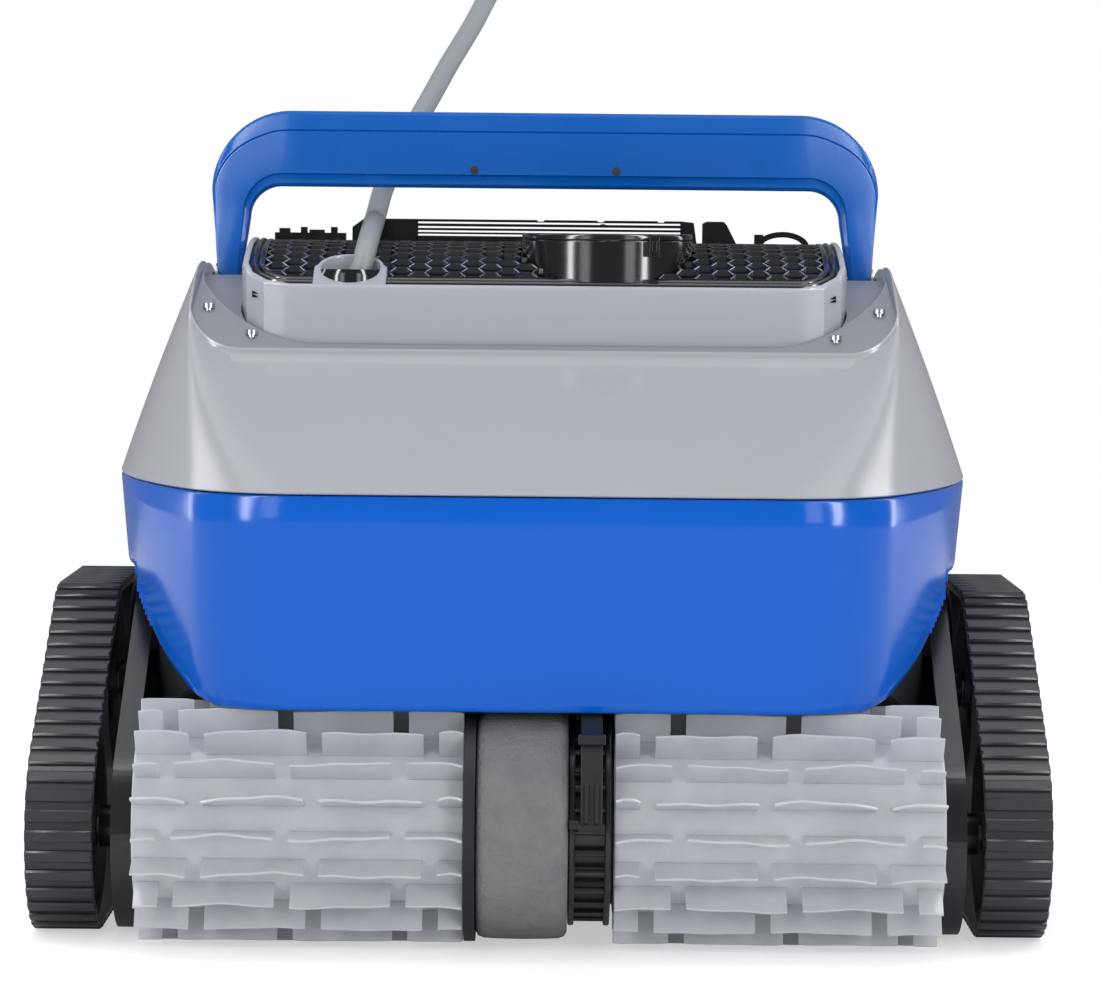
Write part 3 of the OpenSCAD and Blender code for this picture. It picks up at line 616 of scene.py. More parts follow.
@dataclass(frozen=True)
class MilkyPvc(Finish):
    """Soft PVC, calendered: milky, with light carried a few millimetres inside and a waxy shine."""

    roughness: float = 0.3
    specular: float = 0.5

    def dress(self, tree: bpy.types.NodeTree, shader: bpy.types.Node, place: bpy.types.NodeSocket) -> None:
        """Adds light carried under the surface and faint scuffs."""
        shader.inputs["Subsurface Weight"].default_value = 0.35
        shader.inputs["Subsurface Radius"].default_value = (1.0, 1.0, 1.0)
        shader.inputs["Subsurface Scale"].default_value = 0.002
        self.vary(tree, shader, place, 14.0, "#C3C7CD", 0.5)
        scuffs = noise(tree, place, 3.0, 3.0)
        self.relief(tree, shader, scuffs, 0.06)


@dataclass(frozen=True)
class PvaFoam(Finish):
    """Foamed PVA, cast: fully matt, with open pores of about 1.5 mm and uneven damp patches."""

    roughness: float = 0.85
    specular: float = 0.2

    def dress(self, tree: bpy.types.NodeTree, shader: bpy.types.Node, place: bpy.types.NodeSocket) -> None:
        """Adds pores over soft lumps."""
        self.vary(tree, shader, place, 12.0, "#74777A", 0.6)
        lumps = noise(tree, place, 6.0, 2.0)
        coarse = self.relief(tree, shader, lumps, 0.5)
        pores = add(tree, "ShaderNodeTexVoronoi", None, {"Vector": place, "Scale": 1000 / 1.5})
        self.relief(tree, shader, pores.outputs["Distance"], 0.35, coarse)


@dataclass(frozen=True)
class TurnedSteel(Finish):
    """Stainless steel, turned: bright, with fine rings left by the tool, drawn at 0.8 mm."""

    roughness: float = 0.28
    metallic: float = 1.0

    def dress(self, tree: bpy.types.NodeTree, shader: bpy.types.Node, place: bpy.types.NodeSocket) -> None:
        """Adds the tool's rings along X."""
        rings = add(tree, "ShaderNodeTexWave", {"wave_type": "BANDS", "bands_direction": "X"},
                    {"Vector": place, "Scale": 1000 / 0.8 / 20, "Distortion": 0.6})
        self.relief(tree, shader, rings.outputs["Fac"], 0.02)


@dataclass(frozen=True)
class FoamedJacket(Finish):
    """Foamed polyurethane cable jacket, extruded: matt, with a slight skin ripple along its length."""

    roughness: float = 0.48
    specular: float = 0.35

    def dress(self, tree: bpy.types.NodeTree, shader: bpy.types.Node, place: bpy.types.NodeSocket) -> None:
        """Adds the ripple and faint grime."""
        self.vary(tree, shader, place, 45.0, "#8F979C", 0.5)
        ripple = noise(tree, place, 4.0, 3.0)
        self.relief(tree, shader, ripple, 0.12)


class Look(Enum):
    """The machine's finishes."""

    # Gloss ABS, cool grey: broad soft reflections of the room
    HOOD = GlossShell("gloss_abs_hood", "#B8BBC2", roughness=0.16)
    # The same ABS, a shade lighter, on the turret
    TURRET = GlossShell("gloss_abs_turret", "#BFC2CB", roughness=0.16)
    # Satin ABS in the recess, which dulls what it reflects; its grey is darker than the hood's as painted shade of the
    # recess
    LEDGE = MouldedGrain("satin_abs_ledge", "#8F939D", roughness=0.35, grain_depth_mm=0.02)
    # Gloss ABS, saturated blue: deep colour under a clear shine
    SKIRT = GlossShell("gloss_abs_blue", "#0066DA", roughness=0.16, specular=0.35)
    # Satin ABS, deeper blue, where hands hold it
    HANDLE = GlossShell("satin_abs_handle", "#0468CC", roughness=0.26, specular=0.3)
    # Black ABS, polished mould: mirror-like streaks on near black
    NOZZLE = GlossShell("polished_black_abs", "#16181B", roughness=0.14, specular=0.6)
    # Black ABS, gloss, with glints of its own; the pale lines along the honeycomb's tops are a painted highlight, in a
    # finish of their own
    GRILLE = GlossShell("gloss_black_grille", "#24272C", roughness=0.18, specular=0.9)
    # The honeycomb's tops: the grille's black ABS painted mid grey, a painted highlight for the room that they mirror
    # as pale lines
    CELL_TOP = GlossShell("polished_honeycomb_top", "#85888C", roughness=0.4, specular=0.5)
    # Matt black sheet under the cells: painted shade, dark where the machine's inside lies in shadow below the deck
    LINING = MouldedGrain("matt_black_lining", "#0B0C0E", roughness=0.8, specular=0.1)
    # Textured black ABS: the frame that carries everything
    FRAME = MouldedGrain("grained_black_abs", "#1C1E22", worn="#26292E")
    # Gloss side plates over the tracks
    PLATE = GlossShell("gloss_black_plate", "#1E2126", roughness=0.22, specular=0.6)
    BELT = BeltRubber("moulded_nitrile_belt", "#24272C")
    BLADE = MilkyPvc("milky_pvc_blade", "#D3D6DB")
    DRUM = PvaFoam("pva_foam_drum", "#868889")
    # Glass-filled nylon: dull, slightly mottled
    WHEEL = MouldedGrain("glass_filled_nylon_wheel", "#3C4046", roughness=0.55, worn="#4A4E54")
    STEEL = TurnedSteel("turned_stainless_steel", "#B5B8BC")
    # Painted die-cast case: even and low in shine
    MOTOR = MouldedGrain("sealed_motor_case", "#3B4046", roughness=0.5, grain_mm=2.0)
    # Unfilled nylon: warm white and waxy
    NYLON = MouldedGrain("natural_nylon", "#D6D3C8", roughness=0.4, grain_depth_mm=0.02)
    # Moulded polypropylene: pale and soft-edged in its shine
    BASKET = MouldedGrain("moulded_polypropylene", "#DFE2E4", roughness=0.42, worn="#CFD2D4")
    # Closed-cell foam: matt with small cut cells
    FLOAT = MouldedGrain("closed_cell_foam", "#E8E8E2", roughness=0.9, specular=0.15, grain_mm=2.2, grain_depth_mm=0.3)
    # Silicone flap: smooth and dull
    FLAP = MouldedGrain("silicone_flap", "#3A3D42", roughness=0.6, grain_depth_mm=0.02)
    CABLE = FoamedJacket("foamed_cable_jacket", "#A2A9AC")
    # Moulded nylon connector with a grip texture
    CONNECTOR = MouldedGrain("grained_nylon_connector", "#2B2E33", roughness=0.5)


LOOKS: dict[Look, bpy.types.Material] = {}


def surface(look: Look) -> bpy.types.Material:
    """The material of a finish, made once."""
    if look not in LOOKS:
        LOOKS[look] = look.value.make()
    return LOOKS[look]


class Repeater:
    """Geometry Nodes tree that copies one shape many times and turns it into plain faces."""

    def __init__(self, name: str) -> None:
        """Starts a tree with the template and finish that every repeater has.

        Args:
            name: the tree's name.
        """
        self.tree = bpy.data.node_groups.new(name, "GeometryNodeTree")
        self.ids: dict[str, str] = {}
        self.socket("Host", "NodeSocketGeometry")
        self.socket("Template", "NodeSocketObject")
        self.socket("Finish", "NodeSocketMaterial")
        self.tree.interface.new_socket(name="Result", in_out="OUTPUT", socket_type="NodeSocketGeometry")
        self.sizes()
        self.into = self.tree.nodes.new("NodeGroupInput")
        shape = add(self.tree, "GeometryNodeObjectInfo", None, {"Object": self.into.outputs["Template"]})
        placed = add(self.tree, "GeometryNodeInstanceOnPoints", None, {
            "Points": self.points(), "Instance": shape.outputs["Geometry"], "Rotation": self.turns()})
        real = add(self.tree, "GeometryNodeRealizeInstances", None, {"Geometry": placed.outputs["Instances"]})
        dressed = add(self.tree, "GeometryNodeSetMaterial", None, {
            "Geometry": real.outputs["Geometry"], "Material": self.into.outputs["Finish"]})
        add(self.tree, "NodeGroupOutput", None, {"Result": dressed.outputs["Geometry"]})

    def socket(self, name: str, kind: str) -> None:
        """Adds a named input to the tree."""
        made = self.tree.interface.new_socket(name=name, in_out="INPUT", socket_type=kind)
        self.ids[name] = made.identifier

    def sizes(self) -> None:
        """Adds the inputs that this kind of repeater has."""

    def points(self) -> bpy.types.NodeSocket:
        """Where the copies go: by default, on the host's own points."""
        return self.into.outputs["Host"]

    def turns(self) -> bpy.types.NodeSocket:
        """How each copy is turned: by default, not at all."""
        return add(self.tree, "ShaderNodeCombineXYZ").outputs["Vector"]

    def bake(
        self,
        name: str,
        template: bpy.types.Mesh,
        host: bpy.types.ID,
        look: Look,
        values: dict[str, object] | None = None,
    ) -> bpy.types.Mesh:
        """Copies a template and returns the plain mesh.

        Args:
            name: the new mesh's name.
            template: the shape that is copied.
            host: mesh or curve that the copies go on.
            look: their finish.
            values: the tree's own inputs, by name.

        Returns:
            One mesh with every copy in it.
        """
        pattern, carrier = link(f"{name}_template", template), link(f"{name}_host", host)
        modifier = carrier.modifiers.new("repeat", "NODES")
        modifier.node_group = self.tree
        for key, value in {"Template": pattern, "Finish": surface(look), **(values or {})}.items():
            modifier[self.ids[key]] = value
        bpy.context.view_layer.update()
        made = bpy.data.meshes.new_from_object(carrier.evaluated_get(bpy.context.evaluated_depsgraph_get()))
        made.name = name
        bpy.data.objects.remove(carrier)
        bpy.data.objects.remove(pattern)
        return made


class RingRepeater(Repeater):
    """Copies round an axis along X: blade rows, rungs and teeth."""

    def sizes(self) -> None:
        """Adds the count, the first copy's turn and the axis' place."""
        self.socket("Count", "NodeSocketInt")
        self.socket("Phase", "NodeSocketFloat")
        self.socket("Axis", "NodeSocketVector")

    def points(self) -> bpy.types.NodeSocket:
        """All the points lie at one place on the axis."""
        line = add(self.tree, "GeometryNodeMeshLine", None, {
            "Count": self.into.outputs["Count"], "Start Location": self.into.outputs["Axis"], "Offset": (0, 0, 0)})
        return line.outputs["Mesh"]

    def turns(self) -> bpy.types.NodeSocket:
        """Each copy is turned by its share of the circle."""
        number = add(self.tree, "GeometryNodeInputIndex").outputs["Index"]
        share = add(self.tree, "ShaderNodeMath", {"operation": "DIVIDE"}, {0: number, 1: self.into.outputs["Count"]})
        angle = add(self.tree, "ShaderNodeMath", {"operation": "MULTIPLY_ADD"},
                    {0: share.outputs["Value"], 1: 2 * math.pi, 2: self.into.outputs["Phase"]})
        return add(self.tree, "ShaderNodeCombineXYZ", None, {"X": angle.outputs["Value"]}).outputs["Vector"]


class LoopRepeater(Repeater):
    """Copies along a loop in the Y-Z plane, each with its top away from the loop: belt ribs."""

    def sizes(self) -> None:
        """Adds the count."""
        self.socket("Count", "NodeSocketInt")

    def points(self) -> bpy.types.NodeSocket:
        """Points at even steps along the loop."""
        self.steps = add(self.tree, "GeometryNodeCurveToPoints", {"mode": "COUNT"}, {
            "Curve": self.into.outputs["Host"], "Count": self.into.outputs["Count"]})
        return self.steps.outputs["Points"]

    def turns(self) -> bpy.types.NodeSocket:
        """Each copy is turned about X to lie along the loop."""
        parts = add(self.tree, "ShaderNodeSeparateXYZ", None, {"Vector": self.steps.outputs["Tangent"]})
        angle = add(self.tree, "ShaderNodeMath", {"operation": "ARCTAN2"},
                    {0: parts.outputs["Z"], 1: parts.outputs["Y"]})
        return add(self.tree, "ShaderNodeCombineXYZ", None, {"X": angle.outputs["Value"]}).outputs["Vector"]


def joined(name: str, meshes: Sequence[bpy.types.Mesh]) -> bpy.types.Mesh:
    """One mesh from several, keeping their materials.

    Args:
        name: the new mesh's name.
        meshes: what goes into it.

    Returns:
        The joined mesh.
    """
    whole, looks = bmesh.new(), []
    for mesh in meshes:
        first = len(whole.faces)
        whole.from_mesh(mesh)
        whole.faces.ensure_lookup_table()
        table = []
        for look in mesh.materials:
            if look not in looks:
                looks.append(look)
            table.append(looks.index(look))
        for face in whole.faces[first:]:
            face.material_index = table[min(face.material_index, len(table) - 1)] if table else 0
    made = bpy.data.meshes.new(name)
    whole.to_mesh(made)
    whole.free()
    for look in looks:
        made.materials.append(look)
    made.shade_smooth()
    made.set_sharp_from_angle(angle=math.radians(35))
    return made


def cloud(name: str, points: Iterable[Sequence[float]]) -> bpy.types.Mesh:
    """A mesh of loose points, in metres."""
    made = bpy.data.meshes.new(name)
    made.from_pydata([tuple(float(c) * MM for c in p) for p in points], [], [])
    return made


def poly_line(name: str, points: Sequence[Point], cyclic: bool = False) -> bpy.types.Curve:
    """A straight-sided curve through points.

    Args:
        name: the curve's name.
        points: its points in millimetres.
        cyclic: whether its end joins its start.

    Returns:
        The curve.
    """
    curve = bpy.data.curves.new(name, "CURVE")
    curve.dimensions = "3D"
    spline = curve.splines.new("POLY")
    spline.points.add(len(points) - 1)
    for point, place in zip(spline.points, points):
        point.co = (*(c * MM for c in place), 1.0)
    spline.use_cyclic_u = cyclic
    return curve


@dataclass
class Studio:
    """Floor, lights and camera."""

    lens: float = 132.5
    shift: float = 0.0026
    camera_at: Point = (1.5, -1845.0, 299.0)
    pitch: float = 3.66
    roll: float = -0.55
    floor_half: float = 1.35
    floor_glow: tuple[float, float] = (0.05, 0.5)
    room_light: float = 0.5
    room_glint: float = 0.22

    def camera(self) -> None:
        """Sets the camera up in front of the machine, a little above its deck."""
        data = bpy.data.cameras.new("front_camera")
        data.lens, data.sensor_width, data.shift_x = self.lens, 36.0, self.shift
        data.clip_start, data.clip_end = 0.05, 50.0
        made = link("front_camera", data)
        made.location = Vector(self.camera_at) * MM
        made.rotation_euler = (math.radians(90 - self.pitch), math.radians(self.roll), 0.0)
        bpy.context.scene.camera = made

    def floor(self) -> None:
        """Lays the plain pale floor that the machine stands on."""
        half = self.floor_half
        mesh = bpy.data.meshes.new("studio_floor")
        mesh.from_pydata([(-half, -half, 0), (half, -half, 0), (half, half, 0), (-half, half, 0)], [], [(0, 1, 2, 3)])
        material = bpy.data.materials.new("pale_studio_floor")
        tree = cleared(material)
        plain = add(tree, "ShaderNodeBsdfDiffuse", None, {"Color": linear("#F4F4F4")})
        seen = add(tree, "ShaderNodeLightPath").outputs["Is Camera Ray"]
        strength = add(tree, "ShaderNodeMapRange", None, {
            "Value": seen, "To Min": self.floor_glow[0], "To Max": self.floor_glow[1]})
        glow = add(tree, "ShaderNodeEmission", None, {"Color": (1, 1, 1, 1), "Strength": strength.outputs["Result"]})
        both = add(tree, "ShaderNodeAddShader", None, {0: plain.outputs[0], 1: glow.outputs[0]})
        add(tree, "ShaderNodeOutputMaterial", None, {"Surface": both.outputs[0]})
        mesh.materials.append(material)
        link("studio_floor", mesh)

    def sky(self) -> None:
        """Fills the room with even white seen behind the machine, dimmer where it only lights."""
        world = bpy.data.worlds.new("studio_room")
        tree = cleared(world)
        rays = add(tree, "ShaderNodeLightPath")
        lights = add(tree, "ShaderNodeMapRange", None, {
            "Value": rays.outputs["Is Glossy Ray"], "To Min": self.room_light, "To Max": self.room_glint})
        strength = add(tree, "ShaderNodeMapRange", None, {
            "Value": rays.outputs["Is Camera Ray"], "To Min": lights.outputs["Result"], "To Max": 1.0})
        back = add(tree, "ShaderNodeBackground", None,
                   {"Color": (1, 1, 1, 1), "Strength": strength.outputs["Result"]})
        add(tree, "ShaderNodeOutputWorld", None, {"Surface": back.outputs[0]})
        bpy.context.scene.world = world
        bpy.context.scene.view_settings.view_transform = "Standard"

    def lamp(self, name: str, at: Point, aim: Point, size: tuple[float, float], watts: float,
             lights: bool = True) -> None:
        """Hangs one soft box.

        Args:
            name: its name.
            at: where it hangs, in metres.
            aim: what it faces, in metres.
            size: its width and height in metres.
            watts: its power.
            lights: whether it lights surfaces, or is only mirrored in the glossy ones.
        """
        data = bpy.data.lights.new(name, "AREA")
        data.shape, data.size, data.size_y, data.energy = "RECTANGLE", size[0], size[1], watts
        made = link(name, data)
        made.visible_camera = False
        made.visible_diffuse = lights
        made.location = at
        made.rotation_euler = (Vector(aim) - Vector(at)).to_track_quat("-Z", "Y").to_euler()

    def lamps(self) -> None:
        """Hangs the side strips, the front boxes, the strips that the shells mirror and the wide box above."""
        for name, side in (("left", -1), ("right", 1)):
            self.lamp(f"{name}_strip", (side * 1.62, 0.76, 1.1), (0, 0, 1.1), (0.24, 4.4), 20)
            self.lamp(f"{name}_box", (side * 1.15, -2.0, 0.78), (0, 0, 0.25), (0.55, 1.5), 8)
            self.lamp(f"{name}_mirror", (side * 1.15, -0.97, 1.1), (0, 0, 0.2), (0.26, 3.0), 42, lights=False)
        self.lamp("top_box", (0.0, 0.1, 2.2), (0, 0, 0.2), (1.8, 1.4), 10)

    def build(self) -> None:
        """Sets up everything but the camera."""
        self.sky()
        self.floor()
        self.lamps()


@dataclass
class CableRun:
    """Floating cable: out of its well, up and back over the machine, down to a coil behind it."""

    diameter: float = 9.5
    connector_r: float = 11.0
    coil_centre: tuple[float, float] = (10.0, 360.0)
    coil_out: float = 116.0
    coil_in: float = 53.0
    turns: float = 6.5
    layer_z: tuple[float, ...] = (4.8, 14.4, 24.0, 33.6)
    free: Sequence[Point] = (
        (-85, -61, 270), (-82.6, -60.6, 277), (-80.2, -58.5, 283.7), (-78.9, -54, 290),
        (-78.1, -47, 294.3), (-77.5, -35, 298.4), (-77.3, -20, 301.2), (-77.4, -2, 303.4),
        (-77.8, 14, 304.6), (-77.7, 25, 306.5), (-76.9, 33.5, 311), (-75.2, 40, 318.2),
        (-71.4, 45.5, 327.5), (-66.7, 51.5, 337.5), (-62.1, 59, 347.5), (-56.8, 68, 357.7),
        (-51.5, 78, 368), (-46.6, 89, 378), (-41.2, 102, 388), (-36, 117, 398),
        (-31.9, 132, 407), (-29.3, 146, 413.5), (-28, 161, 416.5), (-30.6, 176, 413.5),
        (-36.1, 187, 404), (-44.7, 197, 390), (-54.8, 206, 373), (-65.3, 213.5, 355),
        (-75.2, 220, 336), (-83.4, 226, 318), (-87.7, 230, 303), (-92, 233, 280),
        (-96, 235, 245), (-99, 236, 200), (-101, 237, 155), (-102, 238, 110),
        (-103, 240, 72), (-104, 246, 42), (-105, 260, 18), (-106, 284, 7),
        (-106, 310, 4.8), (-106, 335, 4.8))
    tail: Sequence[Point] = (
        (126.5, 345, 33.5), (129, 328, 30), (132, 310, 21), (134, 294, 13), (135, 280, 11))

    def coil(self) -> list[Point]:
        """The coil's centre line, layer by layer, in and out by turns.

        Returns:
            Points from its left side, where the cable comes in, to its right side, where it leaves.
        """
        line, angle = [], math.pi
        wide, step = self.coil_out - self.coil_in, 2 * math.pi / 28
        for k, z in enumerate(self.layer_z):
            whole = round(self.turns * 28)
            for i in range(whole + 1):
                t = i / whole
                reach = self.coil_out - wide * t if k % 2 == 0 else self.coil_in + wide * t
                line.append((self.coil_centre[0] + reach * math.cos(angle - i * step),
                             self.coil_centre[1] + reach * math.sin(angle - i * step), z))
            angle -= whole * step
            if k + 1 < len(self.layer_z):
                edge = self.coil_in if k % 2 == 0 else self.coil_out
                rise = self.layer_z[k + 1] - z
                for i in range(1, 5):
                    line.append((self.coil_centre[0] + edge * math.cos(angle - i * math.pi / 15),
                                 self.coil_centre[1] + edge * math.sin(angle - i * math.pi / 15),
                                 z + rise * float(blend_between(i / 5))))
                angle -= math.pi / 3
        return line

    def build(self) -> None:
        route = [tuple(p) for p in smooth_path(self.free, 2)] + self.coil() + [
            tuple(p) for p in smooth_path(self.tail, 2)]
        curve = poly_line("cable_line", route)
        curve.bevel_depth, curve.bevel_resolution = self.diameter / 2 * MM, 2
        curve.use_fill_caps = True
        curve.materials.append(surface(Look.CABLE))
        cable = settle(link("floating_cable", curve), "chassis", ("cable_tube", "cable_coil", "cable_tail"))
        boot, connector = self.boot(), self.connector()

    def boot(self) -> bpy.types.Object:
        """Tapered strain relief in the well, with grooves that let it bend."""
        profile = [(250.0, 4.8), (250.0, 9.5), (256.0, 9.5), (257.0, 8.6)]
        for k in range(4):
            z, r = 258.5 + k * 4.4, 8.4 - k * 0.7
            profile += [(z, r), (z + 2.6, r - 0.3), (z + 2.9, r - 1.3), (z + 4.1, r - 1.4)]
        profile += [(276.0, 5.3), (276.0, 4.8)]
        shape = Shape()
        shape.turned(profile, WELL, "z", 32)
        return finished("cable_boot", shape, [surface(Look.CONNECTOR)], "chassis", ("cable_gland",))

    def connector(self) -> bpy.types.Object:
        """Round floating connector with a ribbed collar."""
        r, y = self.connector_r, 280.0
        profile = [(y, 4.9), (y, 6.2), (y - 3, 7), (y - 12, 7), (y - 14, r - 1), (y - 16, r)]
        for k in range(8):
            base = y - 19 - k * 2.6
            profile += [(base, r), (base - 0.5, r - 0.8), (base - 1.5, r - 0.8), (base - 2.0, r)]
        profile += [(y - 49, r), (y - 50, r - 2), (y - 61, r - 2), (y - 62, r - 3), (y - 62, 0.4)]
        shape = Shape()
        shape.turned([(p[0], p[1]) for p in profile], (0.0, 0.0), "x", 40)

        def lay_down(points: np.ndarray) -> np.ndarray:
            """Turns the connector from X to Y and puts it at the cable's end."""
            return np.stack([points[:, 1] + 135.0, points[:, 0], points[:, 2] + r], axis=1)

        return finished("cable_plug", shape, [surface(Look.CONNECTOR)], "chassis", ("cable_connector",),
                        flip=lay_down)


@dataclass
class Hood:
    """Grey upper shell from the waist seam to the arched rim of its opening."""

    waist: tuple[float, float, float] = (190.0, 190.0, 55.0)
    bow: float = 330.0
    rim: tuple[float, float, float] = (156.0, 88.0, 24.0)
    opening: tuple[float, float, float] = (152.0, 84.0, 55.0)
    lip: tuple[tuple[float, float], ...] = ((0.3, 0.4), (0.8, 0.05), (1.2, 0.1), (1.4, 0.9))
    wall: float = 3.0
    bulge: float = 1.0
    steps: tuple[int, int, int] = (24, 16, 24)

    def ring(self, plan: tuple[float, float, float], drop: float, bow: float = 0.0) -> np.ndarray:
        """A plan lifted onto the shoulder arch."""
        flat = outline(*plan, bow, (), self.steps)
        return np.column_stack([flat, shoulder_z(flat[:, 1], drop)])

    def build(self) -> None:
        """Makes the shell as one closed wall."""
        half_w, half_d, corner = self.waist
        low = outline(half_w, half_d, corner, self.bow, (), self.steps)
        low_in = outline(half_w - self.wall, half_d - self.wall, corner - self.wall, self.bow - self.wall, (),
                         self.steps)
        bottom = np.column_stack([low, np.full(len(low), WAIST_Z + 0.9)])
        bottom_in = np.column_stack([low_in, np.full(len(low), WAIST_Z + 0.3)])
        top, out = self.ring(self.rim, 1.3), []
        away = np.column_stack([low / np.linalg.norm(low, axis=1)[:, None], np.zeros(len(low))])
        for t in np.linspace(0, 1, 13):
            out.append(bottom + (top - bottom) * t + away * self.bulge * 4 * t * (1 - t))
        seam = bottom - away * 0.7
        seam[:, 2] = WAIST_Z + 0.3
        r = self.rim
        lip = [self.ring((r[0] - inset, r[1] - inset, r[2] - inset), drop) for inset, drop in self.lip]
        o = self.opening
        band = [lip[-1], self.ring((o[0] + 0.35, o[1] + 0.35, o[2]), 0.9)]
        inner = [band[-1], self.ring(o, 1.4), self.ring(o, self.wall + 1.5)]
        under = self.ring((r[0] - 4.5, r[1] - 4.5, r[2] - 2), self.wall + 2.5)
        inside = [bottom_in + (under - bottom_in) * t for t in np.linspace(1, 0, 7)]
        shape = Shape()
        shape.loft(inner + inside + [seam] + out + lip)
        # The recessed band between rim and turret takes the darker ledge grey: painted shade.
        shape.loft(band, slot=1)
        finished("hood_shell", shape, [surface(Look.HOOD), surface(Look.LEDGE)], "chassis", ("upper_shell",),
                 sharp=50)


@dataclass
class Skirt:
    """Blue lower shell: low at both ends, its side edge lifted in a soft curve over the tracks."""

    waist: tuple[float, float, float] = (190.0, 190.0, 55.0)
    foot: tuple[float, float, float] = (182.0, 178.0, 55.0)
    bow: float = 330.0
    foot_z: float = 101.0
    wall: float = 3.0
    edge: Sequence[tuple[float, float]] = ((0, 152), (70, 152), (76, 151), (82, 139), (100, 129.2), (122, 117),
                                           (150, 105), (163, 101), (200, 101))
    steps: tuple[int, int, int] = (24, 20, 44)
    ribs_y: tuple[float, float] = (-104.0, -78.0)
    ribs: int = 8

    def wall_ring(self, inset: float, share: float, lift: float = 0.0) -> np.ndarray:
        """A row of points round the wall.

        Args:
            inset: how far inside the outer face.
            share: 0 at the waist, 1 at the bottom edge.
            lift: how far above its place.

        Returns:
            The row's points.
        """
        rows = [outline(w - inset, d - inset, c - inset, self.bow - inset, (), self.steps)
                for w, d, c in (self.waist, self.foot)]
        ys, zs = zip(*self.edge)
        top_z, depth = WAIST_Z - 0.3, WAIST_Z - self.foot_z
        edge_z = np.full(len(rows[0]), self.foot_z)
        for _ in range(6):
            t = ((top_z - edge_z) / depth)[:, None]
            at = rows[0] + (rows[1] - rows[0]) * t
            edge_z = np.interp(np.abs(at[:, 1]), ys, zs)
        z = top_z + (edge_z - top_z) * share + lift
        t = np.clip(((top_z - z) / depth), 0, 1)[:, None]
        return np.column_stack([rows[0] + (rows[1] - rows[0]) * t, z])

    def build(self) -> None:
        """Makes the wall, with rounds at its top and bottom edges, and the ribs along its raised edge."""
        shape = Shape()
        sections = [self.wall_ring(0.9, 0, 0.0), self.wall_ring(0.0, 0.0, -0.9)]
        sections += [self.wall_ring(0.0, s) for s in (0.15, 0.3, 0.5, 0.7, 0.85, 0.96)]
        sections += [self.wall_ring(0.25, 0.992), self.wall_ring(0.9, 1.0), self.wall_ring(2.6, 1.0)]
        sections += [self.wall_ring(self.wall, share) for share in (0.97, 0.5, 0.0)]
        shape.loft(sections, looped=True)
        finished("skirt_shell", shape, [surface(Look.SKIRT)], "chassis", ("lower_shell",), sharp=50)
        self.trim()

    def trim(self) -> None:
        """Sets the small grip ribs along the edge where it rises over the tracks."""
        shape = Shape()
        ys, zs = zip(*self.edge)
        row = self.wall_ring(0.0, 0.93)
        half = row[(row[:, 0] > 0) & (row[:, 1] < -40)]
        half = half[np.argsort(half[:, 1])]
        for side in (-1.0, 1.0):
            for y in np.linspace(*self.ribs_y, self.ribs):
                x = float(np.interp(y, half[:, 1], half[:, 0]))
                z = float(np.interp(-y, ys, zs))
                shape.prism([(side * (x - 1.5), y - 0.7), (side * (x + 0.7), y - 0.5), (side * (x + 0.7), y + 0.5),
                             (side * (x - 1.5), y + 0.7)], z + 1.5, z + 7.5, "z")
        finished("skirt_grip_ribs", shape, [surface(Look.SKIRT)], "chassis", (), bevel=0.2)


@dataclass
class Turret:
    """Grey box that stands in the hood's opening, with faceted corners and a rolled lip along the deck."""

    plan: tuple[float, float, float] = (133.0, 79.0, 22.0)
    wall: float = 3.0
    foot_z: float = 225.0
    steps: tuple[int, int, int] = (28, 3, 30)

    def ring(self, inset: float, drop: float | None) -> np.ndarray:
        """The plan, pulled in and put on the deck's arch, or at the foot where there is no drop."""
        flat = outline(self.plan[0] - inset, self.plan[1] - inset, self.plan[2] - inset, 0, (), self.steps)
        z = np.full(len(flat), self.foot_z) if drop is None else arch_z(flat[:, 1], drop)
        return np.column_stack([flat, z])

    def build(self) -> None:
        """Makes the wall, its lip and the collar that fills the rim's notch at the cable well."""
        shape = Shape()
        lip = [(0.0, 6.0), (0.0, 2.2), (0.35, 0.9), (1.1, 0.15), (2.0, 0.0), (2.7, 0.25), (self.wall, 1.0)]
        path = [(0, None), *lip, (self.wall, 5.0), (self.wall, None)]
        shape.loft([self.ring(inset, drop) for inset, drop in path], looped=True)
        finished("turret_wall", shape, [surface(Look.TURRET)], "chassis", ("turret",),
                 bevel=0.5, sharp=22)
        collar = Shape()
        ring = np.linspace(0, 2 * math.pi, 48, endpoint=False)

        def round_well(radius: float, drop: float, square: float = 0.0) -> np.ndarray:
            """A circle round the well on the deck, drawn out to a square towards the turret's lip."""
            reach = np.full(len(ring), radius)
            if square:
                front = np.sin(ring) < 0.02
                reach[front] = square / np.maximum(np.abs(np.cos(ring)), np.abs(np.sin(ring)))[front]
            x, y = WELL[0] + reach * np.cos(ring), np.maximum(WELL[1] + reach * np.sin(ring), -76.4)
            return np.column_stack([x, y, arch_z(y, drop)])

        collar.loft([round_well(12.9, 12.0), round_well(12.9, 0.9), round_well(13.1, 0.25), round_well(13.6, 0.05),
                     round_well(14.3, 0.1, 15.6), round_well(14.7, 0.6, 16.0), round_well(14.8, 3.5, 16.2)])
        finished("well_collar", collar, [surface(Look.TURRET)], "chassis", (), sharp=60)


